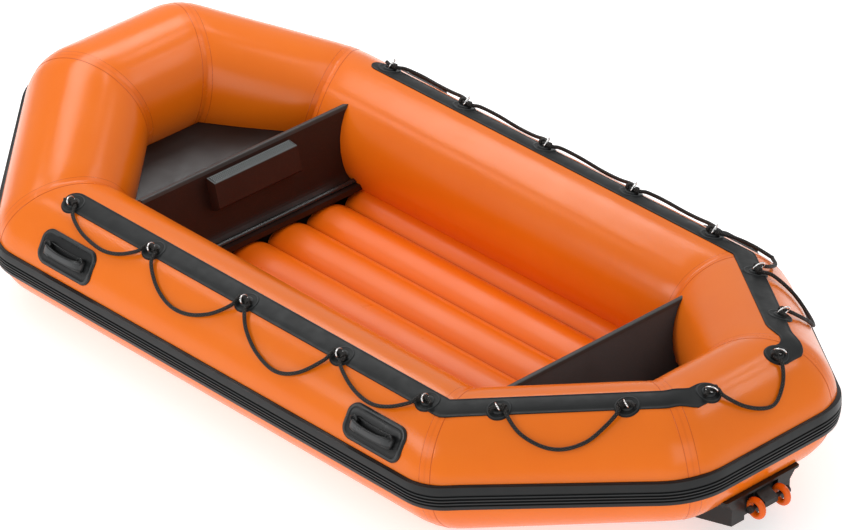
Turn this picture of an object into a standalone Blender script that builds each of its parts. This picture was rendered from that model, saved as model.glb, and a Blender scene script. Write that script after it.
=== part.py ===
"""Inflatable lifeboat: an eight-sided ring of tubes with an air floor, boards, grab lines and tow rings.

Metres, +Z up, +X to the bow, +Y to port, origin on the ground under the middle of the boat.
"""
import math

import bpy
import bmesh
from mathutils import Matrix, Vector

# Tube ring: centreline corners, as distances from the middle of the boat
TUBE_RADIUS = 0.225
TUBE_SIDES = 32
BEND_STEPS = 3
CREASE_SPREAD = 0.3
HALF_BEAM = 0.634
SHOULDER_BOW_X = 1.095
SHOULDER_STERN_X = -0.850
BOW_X = 1.429
BOW_HALF_WIDTH = 0.210
BOW_RISE = 0.195
STERN_X = -1.407
STERN_HALF_WIDTH = 0.221
STERN_RISE = 0.108
GAP = 0.0003

# Rubbing strake round the middle of the tubes, angles measured up from the outer side
STRAKE_LOW_ANGLE = -14.0
STRAKE_HIGH_ANGLE = 8.4
STRAKE_CLEARANCE = 0.0026
STRAKE_BASE = 0.0085
STRAKE_RIB = 0.0055
STRAKE_RIBS = ((0.02, 0.34), (0.40, 0.47), (0.53, 0.60), (0.66, 0.73), (0.79, 0.98))
STRAKE_RIB_SLOPE = 0.015
STRAKE_TWIST_SHOULDER_BOW = -4.5
STRAKE_TWIST_BOW = -13.0
STRAKE_TWIST_SHOULDER_STERN = -1.5
STRAKE_TWIST_STERN = -5.0

# Wear strip on the tube top and the ring patches on it
STRIP_LOW_ANGLE = 65.0
STRIP_HIGH_ANGLE = 85.5
STRIP_THICKNESS = 0.0035
STRIP_BOW_END_PORT = 1.795
STRIP_BOW_END_STARBOARD = 1.748
STRIP_STERN_END_PORT = 0.362
STRIP_STERN_END_STARBOARD = 0.036
STRIP_STERN_TWIST_PORT = -9.5
STRIP_STERN_TWIST_STARBOARD = -12.5
STRIP_END_THICKNESS = 0.0042
PATCH_RADIUS = 0.044
PATCH_THICKNESS = 0.005
PATCH_UNDER = 0.0022
PATCH_SIDES = 24
BOSS_RADIUS = 0.022
BOSS_LOW = 0.0032
BOSS_HIGH = 0.0070
BOSS_SIDES = 16
EYE_RADIUS = 0.0155
EYE_LEG = 0.0075
EYE_WIRE = 0.0025
SKIN_CLEARANCE = 0.0016

# Grab line
ROPE_DIAMETER = 0.014
ROPE_REST = 0.0105
ROPE_LIFT = 0.0045
LIFT_START = 44.0
LIFT_END = 55.0
ROPE_STEP = 0.040
ROPE_TAIL = 0.030
ROPE_CROWN = 0.026
ROPE_DROP = 2.8

# Carrying handles on the sides, below the wear strip
HANDLE_ALONG = (1.681, 0.177)
HANDLE_LENGTH = 0.266
HANDLE_LOW_ANGLE = 12.0
HANDLE_HIGH_ANGLE = 44.0
HANDLE_PLATE = 0.008
HANDLE_CORNER = 0.040
GRIP_LENGTH = 0.172
GRIP_WIDTH = 0.028
GRIP_DEPTH = 0.014
GRIP_SEAT = 0.004
GRIP_FOOT = 0.024
GRIP_SHOULDER = 0.006
GRIP_BEVEL = 0.018
GRIP_FILLET = 0.004
GRIP_SPAN_INSET = 0.036
FINGER_GAP = 0.018

# Air floor: six tubes welded side by side
FLOOR_TUBES = 6
FLOOR_PITCH = 0.183
FLOOR_WELD_Z = 0.074
FLOOR_CROWN = 0.041
FLOOR_STERN_X = -0.845
FLOOR_BOW_X = 0.715
FLOOR_DOME = 0.065

# Boards across the boat, leaning towards the bow
BOARD_LEAN = math.radians(15.0)
BOARD_THICKNESS = 0.022
BOW_BOARD_X = 0.8085
BOW_BOARD_TOP = 0.388
STERN_BOARD_X = -0.8585
STERN_BOARD_TOP = 0.368
STERN_BOARD_FOOT = 0.125
COVE_RADIUS = 0.045
COVE_Z = 0.128
LIP_LENGTH = 0.022
PAD_HALF_LENGTH = 0.192
PAD_DEPTH = 0.045
PAD_TOP = 0.366
PAD_FOOT = 0.262
PAD_TOP_FALL = 0.019
PAD_CHAMFER = 0.012

# Decks in the bow and stern wells and the bottom skins under the boat
DECK_THICKNESS = 0.012
BOW_DECK = ((0.875, 0.228), (1.330, 0.328))
STERN_DECK = ((-1.330, 0.236), (-0.905, 0.172))
SKIN_THICKNESS = 0.008
SKIN_BOTTOM = 0.018
SKIN_BOW_X = 1.020
SKIN_STERN_X = -0.940
SKIN_RISE = 0.030

# Towing bracket under the stern tube
TOW_BAR_X = -1.6285
TOW_BAR_Z = 0.150
TOW_BAR_RADIUS = 0.008
TOW_BAR_HALF = 0.088
TOW_RING_Y = 0.058
TOW_RING_MAJOR = 0.0275
TOW_RING_MINOR = 0.0120
BLOCK_AFT_X = -1.594
RING_SLOT_X = -1.576
RING_SLOT_HALF = 0.018
BLOCK_FORE_X = -1.430
BLOCK_HALF_AFT = 0.135
BLOCK_HALF_FORE = 0.195
BLOCK_LOW_Z = 0.090
FLANGE_AFT_X = -1.604
FLANGE_LOW_Z = 0.187
FLANGE_THICKNESS = 0.008
FLANGE_HALF_AFT = 0.168
FLANGE_HALF_FORE = 0.208
FLANGE_NOSE = 0.010
WEB_HALF_AFT = 0.160
WEB_HALF_FORE = 0.202
WEB_LOW_Z = 0.152
LUG_HALF = 0.030

ORANGE = (0.87, 0.22, 0.03)
BLACK = (0.030, 0.032, 0.033)
CHARCOAL = (0.062, 0.062, 0.062)
BROWN_BLACK = (0.035, 0.022, 0.018)

CORNERS = [
    Vector((SHOULDER_STERN_X, HALF_BEAM, TUBE_RADIUS)),
    Vector((SHOULDER_BOW_X, HALF_BEAM, TUBE_RADIUS)),
    Vector((BOW_X, BOW_HALF_WIDTH, TUBE_RADIUS + BOW_RISE)),
    Vector((BOW_X, -BOW_HALF_WIDTH, TUBE_RADIUS + BOW_RISE)),
    Vector((SHOULDER_BOW_X, -HALF_BEAM, TUBE_RADIUS)),
    Vector((SHOULDER_STERN_X, -HALF_BEAM, TUBE_RADIUS)),
    Vector((STERN_X, -STERN_HALF_WIDTH, TUBE_RADIUS + STERN_RISE)),
    Vector((STERN_X, STERN_HALF_WIDTH, TUBE_RADIUS + STERN_RISE)),
]
SEGMENTS = ["port_side", "port_bow", "bow", "starboard_bow",
            "starboard_side", "starboard_stern", "stern", "port_stern"]
STRAKE_TWISTS = [STRAKE_TWIST_SHOULDER_STERN, STRAKE_TWIST_SHOULDER_BOW,
                 STRAKE_TWIST_BOW, STRAKE_TWIST_BOW,
                 STRAKE_TWIST_SHOULDER_BOW, STRAKE_TWIST_SHOULDER_STERN,
                 STRAKE_TWIST_STERN, STRAKE_TWIST_STERN]

# Grab line eyes: segment, distance along it, angle on the tube
PORT_EYES = [(0, 1.790, 72), (0, 1.377, 71), (0, 0.918, 71), (0, 0.460, 71), (0, 0.068, 73),
             (7, 0.522, 71), (7, 0.106, 69), (6, 0.359, 64)]
STARBOARD_EYES = [(4, 0.219, 72), (4, 0.590, 71), (4, 0.985, 71), (4, 1.402, 71), (4, 1.788, 73),
                  (5, 0.165, 73), (5, 0.532, 69), (6, 0.039, 65)]

# Lowest stretch of each hanging loop: fractions of the way between two eyes, with the angle on the tube
PORT_LOOPS = [
    [(0.12, 61), (0.28, 53), (0.45, 49), (0.62, 48), (0.78, 52), (0.91, 61)],
    [(0.10, 58), (0.26, 44), (0.45, 36), (0.64, 37), (0.82, 46), (0.94, 60)],
    [(0.07, 62), (0.19, 49), (0.38, 37), (0.60, 32), (0.79, 40), (0.93, 58)],
    [(0.08, 62), (0.32, 51), (0.55, 47), (0.74, 51), (0.90, 62)],
]
PORT_QUARTER_LOOP = [(0.07, 63), (0.18, 47), (0.35, 36), (0.52, 33), (0.70, 38), (0.84, 49), (0.94, 61)]
STERN_LOOP = [(0.08, 54), (0.22, 40), (0.42, 31), (0.60, 30), (0.80, 41), (0.93, 55)]
STARBOARD_LOOPS = [
    [(0.10, 61), (0.24, 53), (0.42, 49), (0.60, 49), (0.78, 54), (0.92, 62)],
    [(0.09, 60), (0.22, 50), (0.42, 42), (0.62, 43), (0.80, 51), (0.92, 61)],
    [(0.09, 60), (0.22, 49), (0.42, 41), (0.62, 42), (0.80, 50), (0.92, 60)],
    [(0.09, 60), (0.22, 52), (0.42, 48), (0.60, 48.5), (0.78, 53), (0.92, 61)],
    [(4, 1.850, 61), (4, 1.905, 53), (4, 1.980, 48), (5, -0.037, 47), (5, 0.045, 50), (5, 0.115, 60)],
    [(0.08, 60), (0.20, 42), (0.38, 27), (0.58, 24), (0.78, 38), (0.93, 58)],
]


def clear_scene():
    for obj in list(bpy.data.objects):
        bpy.data.objects.remove(obj, do_unlink=True)


def new_collection(name):
    collection = bpy.data.collections.new(name)
    bpy.context.scene.collection.children.link(collection)
    return collection


def new_material(name, colour, roughness, metallic=0.0):
    material = bpy.data.materials.new(name)
    material.use_nodes = True
    shader = material.node_tree.nodes["Principled BSDF"]
    shader.inputs["Base Color"].default_value = (*colour, 1.0)
    shader.inputs["Roughness"].default_value = roughness
    shader.inputs["Metallic"].default_value = metallic
    return material


def add_object(name, mesh, material, collection):
    obj = bpy.data.objects.new(name, mesh)
    collection.objects.link(obj)
    if material:
        mesh.materials.append(material)
    return obj


def mesh_object(name, bm, material, collection, smooth_angle=30.0):
    bmesh.ops.recalc_face_normals(bm, faces=bm.faces)
    mesh = bpy.data.meshes.new(name)
    bm.to_mesh(mesh)
    bm.free()
    mesh.shade_smooth()
    mesh.set_sharp_from_angle(angle=math.radians(smooth_angle))
    return add_object(name, mesh, material, collection)


def make_cutter(obj):
    obj.hide_render = True
    obj.display_type = "WIRE"
    return obj


def boolean(obj, other, operation="DIFFERENCE", solver="EXACT"):
    modifier = obj.modifiers.new(other.name, "BOOLEAN")
    modifier.operation = operation
    modifier.solver = solver
    modifier.object = other


def ring_frames():
    """Direction, outward and upward axes of each tube, carried round the corners by reflection."""
    count = len(CORNERS)
    directions = [(CORNERS[(i + 1) % count] - CORNERS[i]).normalized() for i in range(count)]
    outward = Vector((0, 1, 0))
    upward = Vector((0, 0, 1))
    frames = []
    for i in range(count):
        if i:
            normal = (directions[i - 1] + directions[i]).normalized()
            outward = outward - 2 * outward.dot(normal) * normal
            upward = upward - 2 * upward.dot(normal) * normal
        frames.append((CORNERS[i], directions[i], outward.copy(), upward.copy()))
    return frames


FRAMES = ring_frames()


def segment_length(segment):
    return (CORNERS[(segment + 1) % len(CORNERS)] - CORNERS[segment]).length


def corner_normal(corner):
    return (FRAMES[corner - 1][1] + FRAMES[corner][1]).normalized()


def corner_bend(corner):
    """Axis the ring turns about at a corner, and half the angle it turns by."""
    before, after = FRAMES[corner - 1][1], FRAMES[corner][1]
    return before.cross(after).normalized(), before.angle(after) / 2


def tube_point(segment, along, angle, radius):
    """A point on or off a tube, carried round the outer side of the bend if it lies past the tube's end."""
    start, direction, outward, upward = FRAMES[segment]
    turn = math.radians(angle)
    arm = (outward * math.cos(turn) + upward * math.sin(turn)) * radius
    past_end = along > segment_length(segment) / 2
    corner = (segment + 1) % len(CORNERS) if past_end else segment
    past = along - segment_length(segment) if past_end else -along
    axis, half = corner_bend(corner)
    reach = arm.dot(direction.cross(axis))
    if past <= 0 or reach <= 0:
        return start + direction * along + arm
    way = 1 if past_end else -1
    return CORNERS[corner] + Matrix.Rotation(way * min(past / reach, half), 3, axis) @ arm


def tube_axes(segment, angle):
    """Axes at a point of the tube: along it, round it upwards, and straight out of it."""
    direction, outward, upward = FRAMES[segment][1:]
    turn = math.radians(angle)
    out = outward * math.cos(turn) + upward * math.sin(turn)
    return direction, (upward * math.cos(turn) - outward * math.sin(turn)), out


def cross_station(segment, along, twist=0.0):
    return segment, CORNERS[segment] + FRAMES[segment][1] * along, None, 0.0, twist


def bend_stations(corner, segment, offset=0.0, twist=0.0):
    """Sections of a tube at a corner, from square across it to the mitre plane it meets its neighbour on."""
    way = -1 if corner == segment else 1
    pivot = CORNERS[corner] - corner_normal(corner) * way * offset
    return [(segment, pivot, corner, way * step / BEND_STEPS, twist) for step in range(BEND_STEPS + 1)]


def section_point(station, point):
    """One point of a section: turned about the corner on the outer side, slid to the crease on the inner."""
    segment, pivot, corner, share, twist = station
    direction, outward, upward = FRAMES[segment][1:]
    out, up = Matrix.Rotation(math.radians(twist), 2) @ Vector(point)
    arm = outward * out + upward * up
    if corner is None:
        return pivot + arm
    axis, half = corner_bend(corner)
    reach = arm.dot(direction.cross(axis))
    if reach > 0:
        return pivot + Matrix.Rotation(half * share, 3, axis) @ arm
    way = 1 if corner != segment else -1
    slide = reach * math.tan(half) * (1 + CREASE_SPREAD * (1 - abs(share)))
    return pivot + arm + direction * way * slide


def mitred_sweep(profile, stations, closed=False):
    """Loft a closed profile of outward and upward coordinates through sections along the ring."""
    bm = bmesh.new()
    rings = [[bm.verts.new(section_point(station, point)) for point in profile] for station in stations]
    count = len(profile)
    following = rings[1:] + rings[:1] if closed else rings[1:]
    for first, second in zip(rings, following):
        for i in range(count):
            bm.faces.new((first[i], first[(i + 1) % count], second[(i + 1) % count], second[i]))
    if not closed:
        bm.faces.new(rings[0])
        bm.faces.new(list(reversed(rings[-1])))
    return bm


def circle_profile(radius, sides):
    reach = radius / math.cos(math.pi / sides)
    step = 2 * math.pi / sides
    return [(reach * math.cos(step * (k + 0.5)), reach * math.sin(step * (k + 0.5))) for k in range(sides)]


def polar(radius, angle):
    return radius * math.cos(math.radians(angle)), radius * math.sin(math.radians(angle))


def band_profile(low, high, inner, outer, steps):
    """Section of a curved band that lies on the tube between two angles."""
    angles = [low + (high - low) * k / steps for k in range(steps + 1)]
    return [polar(inner, a) for a in angles] + [polar(outer, a) for a in reversed(angles)]


def segment_stations(segment, offset, twists=None):
    """Both rounded ends of a tube, with a section halfway where the profile turns between them."""
    end = (segment + 1) % len(CORNERS)
    first_twist, last_twist = (twists[segment], twists[end]) if twists else (0.0, 0.0)
    stations = list(reversed(bend_stations(segment, segment, offset, first_twist)))
    if first_twist != last_twist:
        stations.append(cross_station(segment, segment_length(segment) / 2, (first_twist + last_twist) / 2))
    return stations + bend_stations(end, segment, offset, last_twist)


def build_tubes(material, collection):
    profile = circle_profile(TUBE_RADIUS, TUBE_SIDES)
    for i, name in enumerate(SEGMENTS):
        bm = mitred_sweep(profile, segment_stations(i, GAP / 2))
        mesh_object("tube_" + name, bm, material, collection)


def build_ring_cutter(collection):
    """The whole ring of tubes in one piece, slightly fat, used to trim what fits against the tubes."""
    profile = circle_profile(TUBE_RADIUS + GAP * 1.5, TUBE_SIDES)
    stations = []
    for segment in range(len(CORNERS)):
        stations += segment_stations(segment, 0.0)[1:]
    return make_cutter(mesh_object("cutter_ring", mitred_sweep(profile, stations, True), None, collection))


def strake_profile():
    inner = TUBE_RADIUS + STRAKE_CLEARANCE
    steps = 4
    span = STRAKE_HIGH_ANGLE - STRAKE_LOW_ANGLE
    points = [polar(inner, STRAKE_LOW_ANGLE + span * k / steps) for k in range(steps + 1)]
    low, high = TUBE_RADIUS + STRAKE_BASE, TUBE_RADIUS + STRAKE_BASE + STRAKE_RIB
    for start, end in STRAKE_RIBS:
        for radius, share in ((low, start), (high, start + STRAKE_RIB_SLOPE),
                              (high, end - STRAKE_RIB_SLOPE), (low, end)):
            points.append(polar(radius, STRAKE_HIGH_ANGLE - span * share))
    return points


def build_strakes(material, collection):
    profile = strake_profile()
    for i, name in enumerate(SEGMENTS):
        bm = mitred_sweep(profile, segment_stations(i, GAP / 2, STRAKE_TWISTS))
        mesh_object("strake_" + name, bm, material, collection, 20.0)


def build_plan_cutter(collection):
    """The space inside the ring's centreline, seen from above, as a tall block."""
    outline = [(corner.x, corner.y) for corner in CORNERS]
    return make_cutter(prism("cutter_plan", outline, 2, -0.5, 1.0, None, collection))


def round_plug(name, eye, radius, low, high, sides, collection):
    """A disc that stands square on the tube between two heights above it."""
    segment, along, angle = eye
    bm = bmesh.new()
    bmesh.ops.create_cone(bm, cap_ends=True, segments=sides, radius1=radius, radius2=radius, depth=high - low)
    direction, around, out = tube_axes(segment, angle)
    place = Matrix((direction, around, out)).transposed().to_4x4()
    place.translation = tube_point(segment, along, angle, TUBE_RADIUS + (low + high) / 2)
    bmesh.ops.transform(bm, matrix=place, verts=bm.verts)
    return make_cutter(mesh_object(name, bm, None, collection))


def round_patch(name, eye, radius, height, cutters):
    """A disc that follows the tube's curve, its underside a little off the tube."""
    segment, along, angle = eye
    reach = math.degrees(radius / TUBE_RADIUS) + 2
    profile = band_profile(angle - reach, angle + reach, TUBE_RADIUS + PATCH_UNDER, TUBE_RADIUS + height, 6)
    half = radius + 0.01
    ends = [cross_station(segment, along - half), cross_station(segment, along + half)]
    patch = make_cutter(mesh_object(name, mitred_sweep(profile, ends), None, cutters))
    plug = round_plug(name + "_plug", eye, radius, -0.04, 0.04, PATCH_SIDES, cutters)
    boolean(patch, plug, "INTERSECT")
    return patch


def curve_tube(name, points, radius, resolution, material, collection):
    """A round bar along a list of points, as a mesh with closed ends."""
    curve = bpy.data.curves.new(name, "CURVE")
    curve.dimensions = "3D"
    spline = curve.splines.new("POLY")
    spline.points.add(len(points) - 1)
    for target, point in zip(spline.points, points):
        target.co = (*point, 1.0)
    curve.bevel_depth = radius
    curve.bevel_resolution = resolution
    curve.use_fill_caps = True
    guide = bpy.data.objects.new(name + "_guide", curve)
    collection.objects.link(guide)
    bpy.context.view_layer.update()
    mesh = bpy.data.meshes.new_from_object(guide.evaluated_get(bpy.context.evaluated_depsgraph_get()))
    bpy.data.objects.remove(guide)
    bm = bmesh.new()
    bm.from_mesh(mesh)
    bpy.data.meshes.remove(mesh)
    bmesh.ops.remove_doubles(bm, verts=bm.verts, dist=0.00001)
    return mesh_object(name, bm, material, collection)


def eye_loop(name, eye, cutters):
    """The wire loop that stands on a patch, across the tube, for the grab line to run through."""
    segment, along, angle = eye
    around, out = tube_axes(segment, angle)[1:]
    base = tube_point(segment, along, angle, TUBE_RADIUS + PATCH_THICKNESS)
    points = [base - around * EYE_RADIUS - out * 0.002]
    for k in range(9):
        turn = math.pi * k / 8
        height = EYE_LEG + EYE_RADIUS * math.sin(turn)
        points.append(base - around * EYE_RADIUS * math.cos(turn) + out * height)
    points.append(base + around * EYE_RADIUS - out * 0.002)
    return make_cutter(curve_tube(name, points, EYE_WIRE, 1, None, cutters))


def build_strip(name, bow_end, stations, eyes, material, collection, cutters):
    """A wear strip with its patches, bosses and eyes joined to it, thin skins that EXACT leaves open."""
    profile = band_profile(STRIP_LOW_ANGLE, STRIP_HIGH_ANGLE, TUBE_RADIUS + SKIN_CLEARANCE,
                           TUBE_RADIUS + STRIP_THICKNESS, 4)
    strip = mesh_object(name, mitred_sweep(profile, stations), material, collection)
    middle = (STRIP_LOW_ANGLE + STRIP_HIGH_ANGLE) / 2
    half_width = math.radians(STRIP_HIGH_ANGLE - STRIP_LOW_ANGLE) / 2 * TUBE_RADIUS
    boolean(strip, round_patch(name + "_end", (*bow_end, middle), half_width, STRIP_END_THICKNESS, cutters),
            "UNION", "MANIFOLD")
    for k, eye in enumerate(eyes):
        label = "{}_{}".format(name, k + 1)
        patch = round_patch(label + "_patch", eye, PATCH_RADIUS, PATCH_THICKNESS, cutters)
        boolean(strip, patch, "UNION", "MANIFOLD")
        boss = round_plug(label + "_boss", eye, BOSS_RADIUS, BOSS_LOW, BOSS_HIGH, BOSS_SIDES, cutters)
        boolean(strip, boss, "UNION", "MANIFOLD")
        boolean(strip, eye_loop(label + "_eye", eye, cutters), "UNION", "MANIFOLD")


def build_strips(material, collection, cutters):
    port_bow = (0, STRIP_BOW_END_PORT)
    port = [cross_station(*port_bow)] + bend_stations(0, 0)
    port += list(reversed(bend_stations(0, 7)))[1:]
    twist = STRIP_STERN_TWIST_PORT
    port += bend_stations(7, 7) + list(reversed(bend_stations(7, 6, 0.0, twist / 3)))[1:]
    port.append(cross_station(6, STRIP_STERN_END_PORT, twist))
    starboard_bow = (4, segment_length(4) - STRIP_BOW_END_STARBOARD)
    starboard = [cross_station(*starboard_bow)] + bend_stations(5, 4)
    starboard += list(reversed(bend_stations(5, 5)))[1:]
    twist = STRIP_STERN_TWIST_STARBOARD
    starboard += bend_stations(6, 5, 0.0, twist / 3)
    starboard += list(reversed(bend_stations(6, 6, 0.0, twist * 2 / 3)))[1:]
    starboard.append(cross_station(6, STRIP_STERN_END_STARBOARD, twist))
    for side, bow_end, stations, eyes in (("port", port_bow, port, PORT_EYES),
                                          ("starboard", starboard_bow, starboard, STARBOARD_EYES)):
        build_strip("wear_strip_" + side, bow_end, stations, eyes, material, collection, cutters)


def smooth_step(value, low, high):
    t = min(max((value - low) / (high - low), 0.0), 1.0)
    return t * t * (3 - 2 * t)


def rope_point(segment, along, angle):
    """A point of the grab line's centre, lying on the tube and lifted over the patches."""
    lift = ROPE_REST + ROPE_LIFT * smooth_step(angle, LIFT_START, LIFT_END)
    return tube_point(segment, along, angle, TUBE_RADIUS + lift)


def catmull_rom(points, step):
    """Evenly spaced points of a smooth curve through a route."""
    ends = [points[0] * 2 - points[1]] + points + [points[-1] * 2 - points[-2]]
    fine = []
    for a, b, c, d in zip(ends, ends[1:], ends[2:], ends[3:]):
        for k in range(12):
            t = k / 12
            fine.append(0.5 * (2 * b + (c - a) * t + (2 * a - 5 * b + 4 * c - d) * t * t
                               + (3 * b - a - 3 * c + d) * t ** 3))
    fine.append(points[-1])
    total = sum((b - a).length for a, b in zip(fine, fine[1:]))
    count = max(2, round(total / step))
    spaced = [fine[0]]
    walked = 0.0
    for a, b in zip(fine, fine[1:]):
        piece = (b - a).length
        while len(spaced) < count and walked + piece >= total * len(spaced) / count:
            spaced.append(a.lerp(b, (total * len(spaced) / count - walked) / piece))
        walked += piece
    spaced.append(fine[-1])
    return spaced


def loop_points(eye, following, loop):
    """Points of one hanging loop, each given by its share of the way or by its place on the ring."""
    points = []
    for place in loop:
        if len(place) == 2:
            part, angle = place
            place = (eye[0], eye[1] + (following[1] - eye[1]) * part, angle)
        points.append(rope_point(*place))
    return points


def rope_route(eyes, loops, way):
    """Route of a line through its eyes: rounded over each eye, hanging in a loop between two."""
    first, last = eyes[0], eyes[-1]
    points = [rope_point(first[0], first[1] - way * ROPE_TAIL, first[2] - ROPE_DROP)]
    for k, (segment, along, angle) in enumerate(eyes):
        if k:
            points.append(rope_point(segment, along - way * ROPE_CROWN, angle - ROPE_DROP))
        points.append(rope_point(segment, along, angle))
        if k < len(loops):
            points.append(rope_point(segment, along + way * ROPE_CROWN, angle - ROPE_DROP))
            points += loop_points(eyes[k], eyes[k + 1], loops[k])
    points.append(rope_point(last[0], last[1] + way * ROPE_TAIL, last[2] - ROPE_DROP))
    return points


def rope_routes():
    return {
        "grab_line_port": rope_route(PORT_EYES[:5], PORT_LOOPS, -1),
        "grab_line_port_quarter": rope_route(PORT_EYES[5:7], [PORT_QUARTER_LOOP], -1),
        "grab_line_stern": rope_route([PORT_EYES[7], STARBOARD_EYES[7]], [STERN_LOOP], -1),
        "grab_line_starboard": rope_route(STARBOARD_EYES[:7], STARBOARD_LOOPS, 1),
    }


def build_ropes(material, collection):
    for name, route in rope_routes().items():
        curve_tube(name, catmull_rom(route, ROPE_STEP), ROPE_DIAMETER / 2, 2, material, collection)


def drawn_out(points, shift):
    """A flat outline given as points in space, drawn out by a vector into a solid."""
    bm = bmesh.new()
    face = bm.faces.new([bm.verts.new(point) for point in points])
    result = bmesh.ops.extrude_face_region(bm, geom=[face])
    moved = [item for item in result["geom"] if isinstance(item, bmesh.types.BMVert)]
    bmesh.ops.translate(bm, vec=shift, verts=moved)
    return bm


def prism(name, outline, axis, low, high, material, collection):
    """A flat outline given in the two other axes, in X, Y, Z order, drawn out along one axis."""
    points = []
    for point in outline:
        place = list(point)
        place.insert(axis, low)
        points.append(place)
    shift = Vector((0.0, 0.0, 0.0))
    shift[axis] = high - low
    return mesh_object(name, drawn_out(points, shift), material, collection)


def tapered_block(name, low_plan, high_plan, low, high, collection):
    """A block between two plans with the same number of corners at two heights."""
    bm = bmesh.new()
    lower = [bm.verts.new((x, y, low)) for x, y in low_plan]
    upper = [bm.verts.new((x, y, high)) for x, y in high_plan]
    bm.faces.new(lower)
    bm.faces.new(upper)
    for k in range(len(lower)):
        following = (k + 1) % len(lower)
        bm.faces.new((lower[k], lower[following], upper[following], upper[k]))
    return make_cutter(mesh_object(name, bm, None, collection))


def rounded_plug(name, segment, along, angle, size, corner, depth, collection):
    """A rounded rectangle cutter that stands square on the tube, long side along it."""
    half_length, half_width = size[0] / 2 - corner, size[1] / 2 - corner
    direction, around, out = tube_axes(segment, angle)
    centre = tube_point(segment, along, angle, TUBE_RADIUS)
    outline = []
    for quarter, (side, end) in enumerate(((1, 1), (-1, 1), (-1, -1), (1, -1))):
        for k in range(6):
            turn = math.pi / 2 * (quarter + k / 5)
            across = side * half_length + corner * math.cos(turn)
            up = end * half_width + corner * math.sin(turn)
            outline.append(centre + direction * across + around * up - out * depth)
    return make_cutter(mesh_object(name, drawn_out(outline, out * depth * 2), None, collection))


def grip_bar(name, segment, along, angle, cutters):
    """The handle's bar: a flat-backed arch on two feet, drawn out to its width."""
    direction, around, out = tube_axes(segment, angle)
    seat = TUBE_RADIUS + HANDLE_PLATE - GRIP_SEAT
    under = TUBE_RADIUS + HANDLE_PLATE + FINGER_GAP
    top = under + GRIP_DEPTH
    half = GRIP_LENGTH / 2
    outer = [(half - GRIP_BEVEL, top), (half - GRIP_SHOULDER, top - GRIP_SHOULDER), (half, seat)]
    inner = [(half - GRIP_FOOT, seat), (half - GRIP_FOOT - GRIP_SHOULDER, under - GRIP_FILLET),
             (half - GRIP_SPAN_INSET, under)]
    end = outer + inner
    outline = end + [(-x, height) for x, height in reversed(end)]
    base = tube_point(segment, along, angle, 0.0) - around * GRIP_WIDTH / 2
    points = [base + direction * x + out * height for x, height in outline]
    return make_cutter(mesh_object(name, drawn_out(points, around * GRIP_WIDTH), None, cutters))


def build_handles(material, collection, cutters):
    angle = (HANDLE_LOW_ANGLE + HANDLE_HIGH_ANGLE) / 2
    height = math.radians(HANDLE_HIGH_ANGLE - HANDLE_LOW_ANGLE) * TUBE_RADIUS
    profile = band_profile(HANDLE_LOW_ANGLE - 4, HANDLE_HIGH_ANGLE + 4, TUBE_RADIUS + SKIN_CLEARANCE,
                           TUBE_RADIUS + HANDLE_PLATE, 8)
    length = segment_length(0)
    for side, segment in (("port", 0), ("starboard", 4)):
        for place, distance in zip(("bow", "stern"), HANDLE_ALONG):
            along = distance if segment == 0 else length - distance
            name = "handle_{}_{}".format(side, place)
            ends = [cross_station(segment, along - HANDLE_LENGTH),
                    cross_station(segment, along + HANDLE_LENGTH)]
            handle = mesh_object(name, mitred_sweep(profile, ends), material, collection)
            plug = rounded_plug(name + "_plug", segment, along, angle, (HANDLE_LENGTH, height),
                                HANDLE_CORNER, 0.04, cutters)
            boolean(handle, plug, "INTERSECT")
            boolean(handle, grip_bar(name + "_grip", segment, along, angle, cutters), "UNION")


def floor_outline():
    """Points of the floor's top: sideways place, distance from its tube's middle, height over the welds."""
    arc_radius = ((FLOOR_PITCH / 2) ** 2 + FLOOR_CROWN ** 2) / (2 * FLOOR_CROWN)
    points = []
    for tube in range(FLOOR_TUBES):
        centre = (tube - (FLOOR_TUBES - 1) / 2) * FLOOR_PITCH
        for k in range(9):
            local = FLOOR_PITCH * (k / 8 - 0.5)
            if tube and k == 0:
                continue
            height = math.sqrt(arc_radius ** 2 - local ** 2) - arc_radius + FLOOR_CROWN
            points.append((centre + local, local, height))
    return points


def floor_station(outline, x, height_share, dome_share):
    """One section of the floor, its tubes' middles bulging out by the dome's share."""
    top, bottom = [], []
    for y, local, height in outline:
        bulge = FLOOR_DOME * dome_share * math.sqrt(1 - (2 * abs(local) / FLOOR_PITCH) ** 2 * 0.75)
        top.append((x + bulge, y, FLOOR_WELD_Z + height * height_share))
        bottom.append((x + bulge, y, FLOOR_WELD_Z - FLOOR_CROWN))
    return top, bottom


def build_floor(material, collection, ring):
    outline = floor_outline()
    turns = [math.radians(a) for a in (0, 30, 55, 78)]
    stations = [floor_station(outline, FLOOR_STERN_X, 1.0, 0.0)]
    stations += [floor_station(outline, FLOOR_BOW_X, math.cos(t), math.sin(t)) for t in turns]
    bm = bmesh.new()
    rings = [([bm.verts.new(p) for p in top], [bm.verts.new(p) for p in bottom]) for top, bottom in stations]
    last = len(outline) - 1
    for (top, bottom), (next_top, next_bottom) in zip(rings, rings[1:]):
        for k in range(last):
            bm.faces.new((top[k], top[k + 1], next_top[k + 1], next_top[k]))
            bm.faces.new((bottom[k + 1], bottom[k], next_bottom[k], next_bottom[k + 1]))
        bm.faces.new((top[0], next_top[0], next_bottom[0], bottom[0]))
        bm.faces.new((top[last], bottom[last], next_bottom[last], next_top[last]))
    for top, bottom in (rings[0], rings[-1]):
        for k in range(last):
            bm.faces.new((top[k], top[k + 1], bottom[k + 1], bottom[k]))
    boolean(mesh_object("air_floor", bm, material, collection, 50.0), ring)


def board_point(foot_x, up, back):
    """A point of a leaning board in X and Z: distance up the board and distance back from its bow face."""
    lean = math.sin(BOARD_LEAN), math.cos(BOARD_LEAN)
    return foot_x + lean[0] * up - lean[1] * back, lean[1] * up + lean[0] * back + TUBE_RADIUS


def board_reach(z):
    return (z - TUBE_RADIUS) / math.cos(BOARD_LEAN)


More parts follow.
